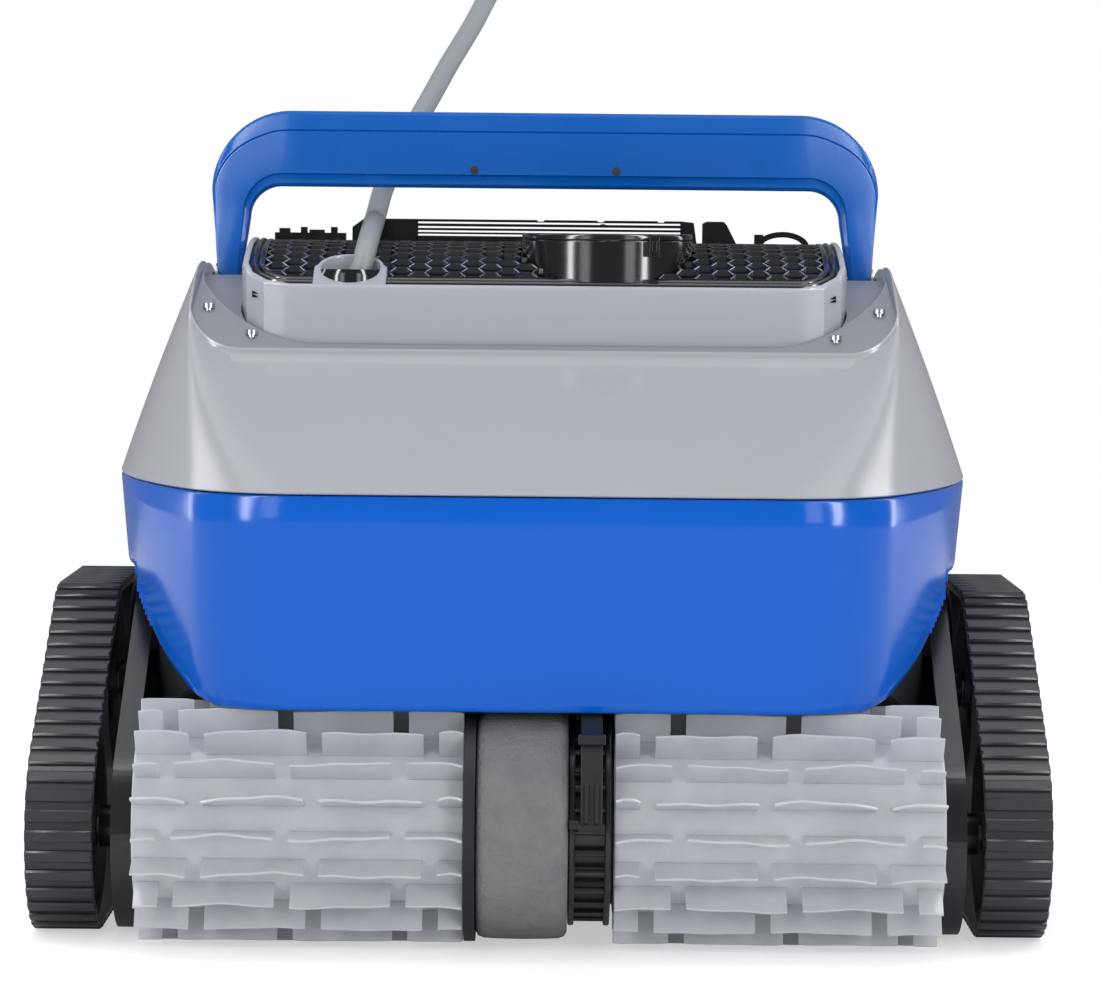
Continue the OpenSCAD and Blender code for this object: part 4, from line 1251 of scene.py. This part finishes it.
@dataclass
class Deck:
    """Honeycomb deck in a double-grooved rim, over a dark sheet of painted shade."""

    rim_plan: tuple[float, float, float] = (130.0, 76.0, 19.0)
    rim_w: float = 7.0
    cell_r: float = 5.23
    wall: float = 1.15
    depth: float = 2.6
    nozzle_r: float = 37.0
    collar_r: float = 14.5

    def rim(self) -> None:
        """Sweeps the rim's grooves round the deck and opens it at the cable well."""
        profile = [(-0.2, 2.5), (0.0, 0.9), (0.3, 2.4), (1.5, 2.4), (1.8, 0.6), (2.2, 0.35), (3.0, 0.35), (3.3, 0.7),
                   (3.5, 2.4), (4.4, 2.4), (4.7, 0.9), (5.1, 0.7), (6.4, 0.7), (6.8, 1.1), (7.0, 3.6), (-0.2, 4.2)]
        steps, sections = (90, 14, 44), []
        for inset, drop in profile:
            w, d, c = self.rim_plan
            flat = outline(w - inset, d - inset, max(c - inset * 0.85, 3.0), 0, (), steps)
            sections.append(np.column_stack([flat, arch_z(flat[:, 1], drop)]))
        shape = Shape()
        shape.loft(sections, looped=True)
        shape.drop(lambda c: abs(c[0] - WELL[0]) < 15.6 and c[1] < 0)
        finished("deck_rim", shape, [surface(Look.GRILLE)], "chassis", ("grille_rim",), sharp=30)

    def cell(self) -> bpy.types.Mesh:
        """One hexagon's frame: its top and its inner walls."""
        turn = np.radians(np.arange(6) * 60.0)
        outer, inner = self.cell_r, self.cell_r - self.wall / 2 / math.cos(math.pi / 6)

        def ring(radius: float, z: float) -> np.ndarray:
            """A hexagon with points to the left and right."""
            return np.column_stack([radius * np.cos(turn), radius * np.sin(turn), np.full(6, z)])

        shape = Shape()
        shape.loft([ring(outer, 0.0), ring(inner + 0.22, 0.0), ring(inner, -0.25), ring(inner, -self.depth)])
        return shape.mesh("deck_cell")

    def centres(self) -> list[Point]:
        """Middles of the cells that lie in the rim, clear of the nozzle and the well."""
        w, d = self.rim_plan[0] - self.rim_w, self.rim_plan[1] - self.rim_w
        across, up = self.cell_r * 3, self.cell_r * math.sqrt(3)
        places = []
        for column in range(-34, 35):
            for row in range(-18, 19):
                x, y = column * across / 2, (row + (column % 2) / 2) * up
                if abs(x) > w + 3.2 or abs(y) > d + 2.6 or (abs(x) > w - 4 and abs(y) > d - 4):
                    continue
                if apart((x, y), OUTLET) < self.nozzle_r - 2 or apart((x, y), WELL) < self.collar_r - 2:
                    continue
                places.append((x, y, 0.0))
        return places

    def honeycomb(self) -> None:
        """Copies the cell over the deck, fits its edge under the rim and bends it to the arch."""
        mesh = Repeater("honeycomb_cells").bake("deck_honeycomb", self.cell(), cloud("cell_centres", self.centres()),
                                                Look.GRILLE)
        count = len(mesh.vertices)
        flat = np.zeros(count * 3)
        mesh.vertices.foreach_get("co", flat)
        p = flat.reshape(-1, 3) / MM
        w, d = self.rim_plan[0] - self.rim_w + 1.5, self.rim_plan[1] - self.rim_w + 1.5
        p[:, 0], p[:, 1] = np.clip(p[:, 0], -w, w), np.clip(p[:, 1], -d, d)
        for centre, radius in ((OUTLET, self.nozzle_r), (WELL, self.collar_r)):
            away = p[:, :2] - np.array(centre)
            near = np.maximum(np.linalg.norm(away, axis=1), 1e-6)
            p[:, :2] += away * (np.maximum(radius / near, 1.0) - 1.0)[:, None]
        p[:, 2] += arch_z(p[:, 1], 1.0)
        mesh.vertices.foreach_set("co", (p * MM).ravel())
        with edited(mesh) as work:
            bmesh.ops.remove_doubles(work, verts=work.verts, dist=2e-5)
            bmesh.ops.dissolve_degenerate(work, dist=1e-5, edges=work.edges)
        whole = joined("deck_honeycomb", [mesh])
        # Faces that look up on the cells' tops take slot 1, the paler grey: painted highlight.
        whole.materials.append(surface(Look.CELL_TOP))
        for face in whole.polygons:
            _, y, z = face.center / MM
            if z > arch_z(y, 1.6) and abs(face.normal.z) > 0.5:
                face.material_index = 1
        settle(link("deck_honeycomb", whole), "chassis", ("deck_grille",))

    def shade_sheet(self) -> None:
        """Lays the dark sheet under the cells: painted shade for the shadowed inside below the deck."""
        shape = Shape()
        xs = np.linspace(-127.5, 127.5, 40)
        ys = np.linspace(-73.5, 73.5, 30)
        for drop in (6.5, 8.0):
            points = [(x, y, float(arch_z(y, drop))) for y in ys for x in xs]
            n = len(xs)
            faces = [(j * n + i, j * n + i + 1, (j + 1) * n + i + 1, (j + 1) * n + i)
                     for j in range(len(ys) - 1) for i in range(n - 1)]
            shape.add(points, faces)
        shape.drop(lambda c: apart(c, OUTLET) < 35.5 or apart(c, WELL) < 14.0)
        finished("deck_lining", shape, [surface(Look.LINING)], "chassis", ())

    def build(self) -> None:
        """Makes the rim, the cells and the dark sheet of painted shade."""
        self.rim()
        self.honeycomb()
        self.shade_sheet()


@dataclass
class DeckFittings:
    """What stands on the deck: outlet nozzle, cable well, rear louvre and latches."""

    nozzle_top: float = 299.0
    nozzle_out: float = 38.0
    nozzle_in: float = 35.0
    duct_in: float = 34.0
    louvre_y: tuple[float, float] = (44.0, 50.0)
    louvre_top: float = 305.0
    slot_x: tuple[float, float] = (-59.0, 63.0)
    slots: tuple[float, ...] = (303.4, 301.3, 299.4, 297.7)
    slot_h: float = 0.8
    notches: tuple[float, ...] = (-2.0, 26.0, 54.0)

    def nozzle(self) -> None:
        """Turns the outlet's socket, with a rolled rim and a stop at its foot."""
        top, out, inn, duct = self.nozzle_top, self.nozzle_out, self.nozzle_in, self.duct_in
        profile = [(235, out), (top - 3.4, out), (top - 3.0, out - 0.35), (top - 2.6, out), (top - 0.9, out),
                   (top - 0.25, out - 0.5), (top, out - 1.3), (top - 0.1, inn + 0.7), (top - 0.7, inn),
                   (top - 24, inn), (top - 24, duct), (235, duct)]
        shape = Shape()
        shape.turned(profile, OUTLET, "z", 96)
        x, y = OUTLET[0] + 20.0, OUTLET[1] - 33.0
        shape.box((x - 2.2, y - 4.5, top - 10), (x + 2.2, y + 2.0, top - 1.2))
        shape.box((x - 1.1, y - 5.4, top - 8), (x + 1.1, y - 4.4, top - 3.0))
        finished("outlet_collar", shape, [surface(Look.NOZZLE)], "chassis", ("outlet_nozzle",),
                 bevel=0.3, sharp=40)

    def well(self) -> None:
        """Turns the cable well, dark and smooth inside."""
        shape = Shape()
        shape.turned([(247, 4.9), (247, 14.6), (279.5, 14.6), (282.4, 13.4), (282.2, 12.9), (279.5, 12.8),
                      (251, 12.8), (250, 11.5), (250, 4.9)], WELL, "z", 48)
        finished("cable_cup", shape, [surface(Look.NOZZLE)], "chassis", ("cable_well",), sharp=50)

    def louvre(self) -> None:
        """Builds the louvre from its slats, its notched top bar and its blocks."""
        y0, y1 = self.louvre_y
        shape = Shape()
        lo, hi = self.slot_x
        h = self.slot_h / 2
        levels = [self.louvre_top] + [z for slot in self.slots for z in (slot + h, slot - h)] + [CREST_Z - 8]
        for k in range(0, len(levels), 2):
            upper, lower = levels[k], levels[k + 1]
            notched = [(notch + 1.7 * math.cos(a), upper - 0.9 * math.sin(a))
                       for notch in sorted(self.notches, reverse=True) for a in np.linspace(0, math.pi, 7)]
            shape.prism([(lo - 1, lower), (hi + 1, lower), (hi + 1, upper), *(notched if k == 0 else []),
                         (lo - 1, upper)], y0, y1, "y")
        base, top = CREST_Z - 8, self.louvre_top
        shape.prism([(-89.5, base), (lo, base), (lo, top), (-84, top), (-89.5, top - 4)], y0, y1, "y")
        shape.prism([(hi, base), (71.5, base), (69.2, top - 0.6), (hi, top)], y0, y1, "y")
        shape.prism([(73.2, base), (92.5, base), (84.5, top - 1.5), (83, top), (75.2, top), (73.2, top - 1.0)],
                    y0, y1, "y")
        bump = np.radians(np.linspace(0, 180, 9))
        shape.prism([(27 + 2.4 * math.cos(a), top - 3.2 + 1.6 * math.sin(a)) for a in bump], y0 - 0.8, y0 + 1, "y")
        finished("rear_louvre_slats", shape, [surface(Look.NOZZLE)], "chassis", ("rear_louvre",),
                 bevel=0.25)

    def latches(self) -> None:
        """Builds the low strips with their latch bits and the rounded loop."""
        y0, y1 = self.louvre_y
        base = CREST_Z - 8
        shape = Shape()
        shape.box((-125.5, y0, base), (-92.5, y1, CREST_Z + 2.2))
        for x, w, h in ((-121, 5, 4.2), (-112, 3, 4.8), (-106, 7, 3.6), (-98, 3, 4.9)):
            shape.box((x - w / 2, y0 + 0.8, base), (x + w / 2, y1 - 0.6, CREST_Z + h))
        shape.box((97.5, y0, base), (101.5, y1, CREST_Z + 3.2))
        arc = [(110.6 + 12.6 * math.cos(a), CREST_Z - 3 + 7.6 * math.sin(a))
               for a in np.radians(np.linspace(0, 180, 17))]
        inner = [(110.6 + 9.8 * math.cos(a), CREST_Z - 3 + 5.0 * math.sin(a))
                 for a in np.radians(np.linspace(180, 0, 17))]
        for k in range(16):
            a, b, c, d = arc[k], arc[k + 1], inner[15 - k], inner[16 - k]
            shape.prism([a, b, c, d], y0 + 1, y1, "y")
        shape.box((98.0, y0 + 1.5, base), (123.2, y1 - 0.5, CREST_Z - 1.5))
        finished("rear_latch_bits", shape, [surface(Look.NOZZLE)], "chassis", ("rear_latches",))

    def build(self) -> None:
        """Makes them all."""
        self.nozzle()
        self.well()
        self.louvre()
        self.latches()


@dataclass
class Handle:
    """Blue carry handle: a deep grip bar that sweeps down into two legs on pivots."""

    half_w: float = 151.0
    top: float = 353.0
    bar_h: float = 34.0
    bar_d: float = 24.0
    corner_r: float = 36.0
    grip_r: float = 14.0
    grip_x: float = 119.5
    foot_z: float = 268.0
    foot_x: tuple[float, float] = (139.0, 147.0)
    pivot_z: float = 277.0
    foot_r: float = 9.0
    bend_x: float = 116.0
    bend: float = 0.26
    screw_x: float = 32.0
    screw_drop: float = 26.0

    def stations(self) -> list[tuple[float, float, float, float, float]]:
        """Matching outer and inner points from the left foot over to the right one.

        Returns:
            Outer X and Z, inner X and Z, and 1 on the bar falling to 0 at the foot.
        """
        side = []
        bend_z = self.top - self.corner_r
        grip_z = self.top - self.bar_h - self.grip_r
        for t in np.linspace(0, 1, 12)[:-1]:
            side.append((self.foot_x[1] + (self.half_w - self.foot_x[1]) * t,
                         self.foot_z + (bend_z - self.foot_z) * t,
                         self.foot_x[0] + (self.grip_x + self.grip_r - self.foot_x[0]) * t,
                         self.foot_z + (grip_z - self.foot_z) * t, 0.55 * t))
        for a in np.linspace(0, math.pi / 2, 15):
            side.append((self.half_w - self.corner_r + self.corner_r * math.cos(a),
                         bend_z + self.corner_r * math.sin(a),
                         self.grip_x + self.grip_r * math.cos(a), grip_z + self.grip_r * math.sin(a),
                         0.55 + 0.45 * a / (math.pi / 2)))
        ends = (self.half_w - self.corner_r, self.grip_x)
        for t in np.linspace(1, 0, 13)[1:]:
            side.append((ends[0] * t, self.top, ends[1] * t, grip_z + self.grip_r, 1.0))
        left = [(-x, z, -u, w, s) for x, z, u, w, s in side]
        return left + side[-2::-1]

    def half_depth(self, z: float) -> float:
        """Half of the handle's depth at a height: the pivot's circle widening to the bar."""
        low = self.top - self.bar_h
        if z >= low:
            return self.bar_d / 2
        if z <= self.pivot_z:
            return math.sqrt(max(self.foot_r**2 - (self.pivot_z - z) ** 2, 4.0))
        return self.foot_r + (self.bar_d / 2 - self.foot_r) * (z - self.pivot_z) / (low - self.pivot_z)

    def build(self) -> None:
        """Sweeps the section from foot to foot and closes both ends."""
        sections = []
        for ox, oz, ix, iz, s in self.stations():
            groove = 0.05 + 0.21 * float(blend_between((s - 0.5) / 0.4))
            cut = 0.75 * float(blend_between((s - 0.45) / 0.2))
            lip = float(blend_between((s - 0.1) / 0.6))
            half = [(0.0, 5.0), (0.018, 2.6), (0.045, 1.2), (groove - 0.03, 0.15), (groove - 0.012, 0.15),
                    (groove, 0.15 + cut), (groove + 0.012, 0.1), (groove + 0.04, 0.0), (0.5, 0.0), (0.78, 0.25),
                    (0.825, 0.5), (0.845, 0.6 + 1.5 * lip), (0.9, 0.9 + 2.2 * lip), (0.955, 1.6 + 1.9 * lip),
                    (0.985, 3.2 + 1.3 * lip), (1.0, 5.4)]
            row = []
            for side in (-1, 1):
                line = []
                for f, inset in (half if side < 0 else half[::-1]):
                    x, z = ox + (ix - ox) * f, oz + (iz - oz) * f
                    depth = self.half_depth(z)
                    bend = self.bend * max(0.0, abs(x) - self.bend_x) * float(blend_between((z - 272) / 40))
                    pulled = bend if side < 0 else bend * 0.4
                    line.append((x, side * max(depth - min(inset, depth * 0.6) - pulled, 1.0), z))
                row += line
            sections.append(np.array(row))
        shape = Shape()
        shape.loft(sections, capped=True)
        finished("grip_handle", shape, [surface(Look.HANDLE)], "handle", ("handle_top_shell", "handle_bottom_shell"),
                 sharp=32)
        self.screws()

    def screws(self) -> None:
        """Sinks the two small screws into the bar's front."""
        shape = Shape()
        turn, z = np.linspace(0, 2 * math.pi, 20, endpoint=False), self.top - self.screw_drop
        for x in (-self.screw_x, self.screw_x):
            for radius, angles, front, back in ((1.9, turn, -12.12, -11.2), (0.9, turn[::4], -12.3, -12.0)):
                shape.prism([(x + radius * math.cos(a), z + radius * math.sin(a)) for a in angles], front, back, "y")
        finished("grip_screws", shape, [surface(Look.CONNECTOR)], "handle", ("handle_screws",), bevel=0.15)


@dataclass
class Track:
    """Rubber belt with its cross ribs, round the four wheels of one side."""

    side: str
    inner_x: float = 186.5
    width: float = 28.5
    thick: float = 3.8
    rib_h: float = 1.6
    pitch: float = 8.5

    def loop(self, radius: float, arc_steps: int = 14) -> list[tuple[float, float]]:
        """The belt's line, as Y and Z, forward along the floor and back over the top.

        Args:
            radius: distance from the wheels' centres.
            arc_steps: how many pieces each turn is cut into.

        Returns:
            Points of the closed loop, whose outside lies on the right of the way along it.
        """
        lean = math.atan2(TOP_WHEEL[1] - LOW_WHEEL[1], LOW_WHEEL[0] - TOP_WHEEL[0])
        right = math.pi - lean
        turns = [((LOW_WHEEL[0], LOW_WHEEL[1]), -math.pi / 2, -math.pi / 2 + right),
                 ((TOP_WHEEL[0], TOP_WHEEL[1]), math.pi / 2 - lean, math.pi / 2),
                 ((-TOP_WHEEL[0], TOP_WHEEL[1]), math.pi / 2, math.pi / 2 + lean),
                 ((-LOW_WHEEL[0], LOW_WHEEL[1]), math.pi / 2 + lean, math.pi * 1.5)]
        line = []
        for (y, z), a0, a1 in turns:
            steps = max(3, round(arc_steps * abs(a1 - a0) / math.pi * 2))
            line += [(y + radius * math.cos(a), z + radius * math.sin(a)) for a in np.linspace(a0, a1, steps + 1)]
        return line

    def band(self) -> bpy.types.Mesh:
        """The smooth belt under the ribs, with a guide ridge inside."""
        x0, x1 = self.inner_x, self.inner_x + self.width
        rows = [(x0, BELT_R - self.thick), (x0, BELT_R - self.rib_h - 0.3), (x0 + 0.3, BELT_R - self.rib_h),
                (x1 - 0.3, BELT_R - self.rib_h), (x1, BELT_R - self.rib_h - 0.3), (x1, BELT_R - self.thick)]
        shape = Shape()
        shape.loft([np.array([(x, y, z) for y, z in self.loop(r)]) for x, r in rows], looped=True)
        mesh = shape.mesh("belt_band")
        mesh.materials.append(surface(Look.BELT))
        return mesh

    def rib(self) -> bpy.types.Mesh:
        """One cross rib, rounded along its top, standing on the belt."""
        half, h, reach = self.pitch * 0.3, self.rib_h, self.width / 2
        across = [(-half, 0.0), (-half, h * 0.55), (-half * 0.72, h), (half * 0.72, h), (half, h * 0.55), (half, 0.0)]
        shape = Shape()
        shape.loft([np.array([(x, y * k, -0.2 + (z + 0.2) * m) for y, z in across])
                    for x, k, m in ((-reach, 0.9, 0.7), (-reach + 0.7, 1, 1), (reach - 0.7, 1, 1), (reach, 0.9, 0.7))],
                   capped=True)
        return shape.mesh("belt_rib")

    def build(self) -> None:
        """Makes the belt with its ribs set along it."""
        line = self.loop(BELT_R - self.rib_h, 24)[::-1]
        middle = self.inner_x + self.width / 2
        curve = poly_line("belt_line", [(middle, y, z) for y, z in line], cyclic=True)
        length = sum(math.dist(a, b) for a, b in zip(line, line[1:] + line[:1]))
        ribs = LoopRepeater("belt_ribs").bake("belt_ribs", self.rib(), curve, Look.BELT,
                                              {"Count": round(length / self.pitch)})
        mesh = joined(f"track_belt_skin_{self.side}", [self.band(), ribs])
        if self.side == "left":
            mirrored(mesh, 0)
        settle(link(mesh.name, mesh), "chassis", (f"track_belt_{self.side}",))


def mirrored(mesh: bpy.types.Mesh, axis: int) -> None:
    """Mirrors a mesh in place and turns its faces outwards again.

    Args:
        mesh: the mesh.
        axis: 0 for left to right, 1 for front to back.
    """
    with edited(mesh) as work:
        for vertex in work.verts:
            vertex.co[axis] *= -1
        bmesh.ops.reverse_faces(work, faces=work.faces)


@dataclass
class Brush:
    """Scrubbing brush: two bladed sleeves, a soft drum and the lantern ring that drives it."""

    end: str
    tip_r: float = 51.0
    sleeve_r: float = 38.0
    roller_r: float = 34.0
    rows: int = 20
    sleeve_x: tuple[float, float] = (31.0, 168.0)
    thick: float = 1.6
    wave: float = 0.9
    wave_turn: tuple[float, float] = (0.085, 0.27)
    curl: float = 0.8
    gap: float = 6.5
    rungs: int = 28
    pinion_at: float = 35.0
    lengths: tuple[tuple[float, ...], ...] = ((23.0, 41.5, 41.5, 10.0), (10.0, 42.0, 42.0, 23.0))

    def blade_row(self, kind: int) -> bpy.types.Mesh:
        """One row of blades along the sleeve, wavier towards their tips.

        Args:
            kind: which of the two ways the row is cut.

        Returns:
            The row round the X axis, pointing to +Y.
        """
        shape, x = Shape(), self.sleeve_x[0] + 0.5
        for length in self.lengths[kind]:
            length = min(length, self.sleeve_x[1] - 0.5 - x)
            steps = max(4, round(length / 3.4))
            sections = []
            for i in range(steps + 1):
                t = i / steps
                along = x + length * t
                slow, quick = self.wave_turn
                sway = self.wave * math.sin(along * slow + kind * 2.0)
                sway += 0.35 * self.wave * math.sin(along * quick + 1.0)
                sway += self.curl * (2 * t - 1) ** 2
                tip = self.tip_r - (0.3 if i in (0, steps) else 0.0)
                side = [(self.sleeve_r - 1.0, 1.0, 0.0), (self.sleeve_r + 4.5, 0.95, 0.2),
                        (tip - 3.5, 0.8, 0.7), (tip - 0.25, 0.7, 1.0)]
                profile = side + [(tip, 0.0, 1.0)] + [(r, -w, k) for r, w, k in reversed(side)]
                sections.append(np.array([(along, r, self.thick / 2 * w + sway * k) for r, w, k in profile]))
            shape.loft(sections, capped=True)
            x += length + self.gap
        return shape.mesh("blade_row")

    def sleeve(self, side: str) -> None:
        """Makes one sleeve: its tube and its rows of blades, every other row cut the other way."""
        tube = Shape()
        x0, x1 = self.sleeve_x
        tube.turned([(x0, self.roller_r + 0.1), (x0, self.sleeve_r - 0.6), (x0 + 0.6, self.sleeve_r),
                     (x1 - 0.6, self.sleeve_r), (x1, self.sleeve_r - 0.6), (x1, self.roller_r + 0.1)],
                    BRUSH_AXIS, "x", 80)
        base = tube.mesh("sleeve_tube")
        base.materials.append(surface(Look.BLADE))
        ring, half = RingRepeater("blade_rows"), self.rows // 2
        rows = [ring.bake(f"blades_{k}", self.blade_row(k), cloud("ring_host", [(0, 0, 0)]), Look.BLADE, {
            "Count": half, "Phase": 2 * math.pi / self.rows * k, "Axis": (0.0, *(c * MM for c in BRUSH_AXIS))})
            for k in (0, 1)]
        mesh = joined(f"bladed_sleeve_{self.end}_{side}", [base, *rows])
        if side == "left":
            mirrored(mesh, 0)
        if self.end == "rear":
            mirrored(mesh, 1)
        settle(link(mesh.name, mesh), f"{self.end}_brush", (f"brush_sleeve_{self.end}_{side}",))

    def drum(self) -> None:
        """Turns the soft drum, a little fuller at its middle."""
        x0, x1, r = -26.0, 12.0, self.tip_r - 2
        profile = [(x0, self.roller_r), (x0, r - 3.2), (x0 + 1.0, r - 1.4), (x0 + 3.5, r - 0.5)]
        profile += [(x, r - 0.35 * abs(x + 7) / 15) for x in np.linspace(x0 + 8, x1 - 8, 6)]
        profile += [(x1 - 3.5, r - 0.5), (x1 - 1.0, r - 1.4), (x1, r - 3.2), (x1, self.roller_r)]
        shape = Shape()
        shape.turned(profile, BRUSH_AXIS, "x", 96)
        made = finished(f"soft_drum_{self.end}", shape, [surface(Look.DRUM)], f"{self.end}_brush",
                        (f"brush_drum_{self.end}",), sharp=60,
                        flip=mirror_y if self.end == "rear" else None)

    def lantern(self) -> None:
        """Makes the drive ring: its core, two flanges with rolled edges and the rungs between them."""
        core = Shape()
        x0, x1, flange, rim = 12.3, 29.7, 2.5, 43.0
        core.turned([(x0, self.roller_r), (x0, rim - 0.5), (x0 + 0.5, rim), (x0 + flange - 0.5, rim),
                     (x0 + flange, rim - 0.5), (x0 + flange, 36.5), (x1 - flange, 36.5), (x1 - flange, rim - 0.5),
                     (x1 - flange + 0.5, rim), (x1 - 0.5, rim), (x1, rim - 0.5), (x1, self.roller_r)],
                    BRUSH_AXIS, "x", 84)
        hub = core.mesh("ring_core")
        hub.materials.append(surface(Look.PLATE))
        rung = Shape()
        rung.turned([(x0 + 1, 1.5), (x1 - 1, 1.5)], (40.0, 0.0), "x", 10, looped=False)
        phase = math.radians(180 - self.pinion_at - 180 / self.rungs)
        rungs = RingRepeater("ring_rungs").bake(
            "rungs", rung.mesh("rung"), cloud("ring_host", [(0, 0, 0)]), Look.PLATE,
            {"Count": self.rungs, "Phase": phase, "Axis": (0.0, *(c * MM for c in BRUSH_AXIS))})
        mesh = joined(f"lantern_ring_{self.end}", [hub, rungs])
        if self.end == "rear":
            mirrored(mesh, 1)
        settle(link(mesh.name, mesh), f"{self.end}_brush", (f"brush_ring_{self.end}",))

    def build(self) -> None:
        """Makes the brush's four pieces."""
        self.sleeve("left")
        self.sleeve("right")
        self.drum()
        self.lantern()


@dataclass
class HangerArms:
    """Arms that hang in front of each drive ring, with their collar, ribs and peg."""

    x: tuple[float, float] = (17.0, 26.0)
    line: Sequence[tuple[float, float]] = ((14, 60), (14, 53.5), (22, 46), (36, 39), (44.6, 24), (44.6, 5), (49, 5),
                                           (49.5, 25), (41, 41.5), (26, 48.3), (20, 51.5), (20, 60))

    def build(self) -> None:
        """Makes the arm at the front and at the rear."""
        shape = Shape()
        profile = [(BRUSH_Y + y, BRUSH_Z + z) for y, z in self.line]
        shape.prism(profile, *self.x)
        y, z = BRUSH_Y + 47.5, BRUSH_Z
        for x in (19.4, 23.6):
            shape.prism([(y + 1.2, z + 6), (y + 2.9, z + 7), (y + 2.9, z + 23), (y + 1.2, z + 24)], x - 0.8, x + 0.8)
        shape.box((self.x[0] - 1.2, BRUSH_Y + 40, z + 38.5), (self.x[1] + 1.2, BRUSH_Y + 45, z + 42.5))
        shape.box((self.x[0] - 1.0, y - 2.5, z + 3.2), (self.x[1] + 1.0, y + 2.0, z + 6.2))
        shape.box((12.4, y - 1.5, z + 4.0), (16.9, y + 1.2, z + 7.8))
        for end, flip in (("rear", None), ("front", mirror_y)):
            finished(f"hanger_arm_{end}", shape, [surface(Look.FRAME)], "chassis",
                     ("brush_guides",) if end == "rear" else (), bevel=0.5, flip=flip)


NODE_LOOKS: dict[Look, tuple[str, ...]] = {
    Look.FRAME: ("chassis_tub", "bottom_plate", "brush_shaft_"),
    # The ledge ring takes the same darker grey: painted shade of its recess.
    Look.LEDGE: ("ledge_ring",),
    Look.PLATE: ("side_plate_left", "side_plate_right"),
    Look.STEEL: ("idler_axles", "handle_pivots", "ledge_screws", "side_plate_screws", "drive_shaft_"),
    Look.MOTOR: ("pump_motor", "drive_gearbox_"),
    Look.BASKET: ("filter_basket", "impeller"),
    Look.FLOAT: ("float_blocks",),
    Look.NYLON: ("brush_bushes", "brush_pinion_"),
    Look.FLAP: ("intake_flap_",),
    Look.WHEEL: ("drive_wheel_", "front_wheel_", "rear_wheel_", "upper_wheel_"),
}


def dress_nodes() -> None:
    """Gives every frame node that stays its finish."""
    for look, names in NODE_LOOKS.items():
        for node, made in frame["nodes"].items():
            if node.startswith(names) and not made.hide_render:
                for place in made.material_slots:
                    place.material = surface(look)


STUDIO = Studio()
CABLE = CableRun()
ASSEMBLIES = (Hood(), Skirt(), Turret(), Deck(), DeckFittings(), Handle(), Track("left"), Track("right"),
              Brush("front"), Brush("rear"), HangerArms())


def main() -> None:
    """Builds everything in order: camera and cable first, then the machine and the room."""
    logging.basicConfig(level=logging.INFO, format="%(message)s")
    STUDIO.camera()
    CABLE.build()
    for assembly in ASSEMBLIES:
        assembly.build()
    dress_nodes()
    STUDIO.build()


if __name__ == "__main__":
    main()
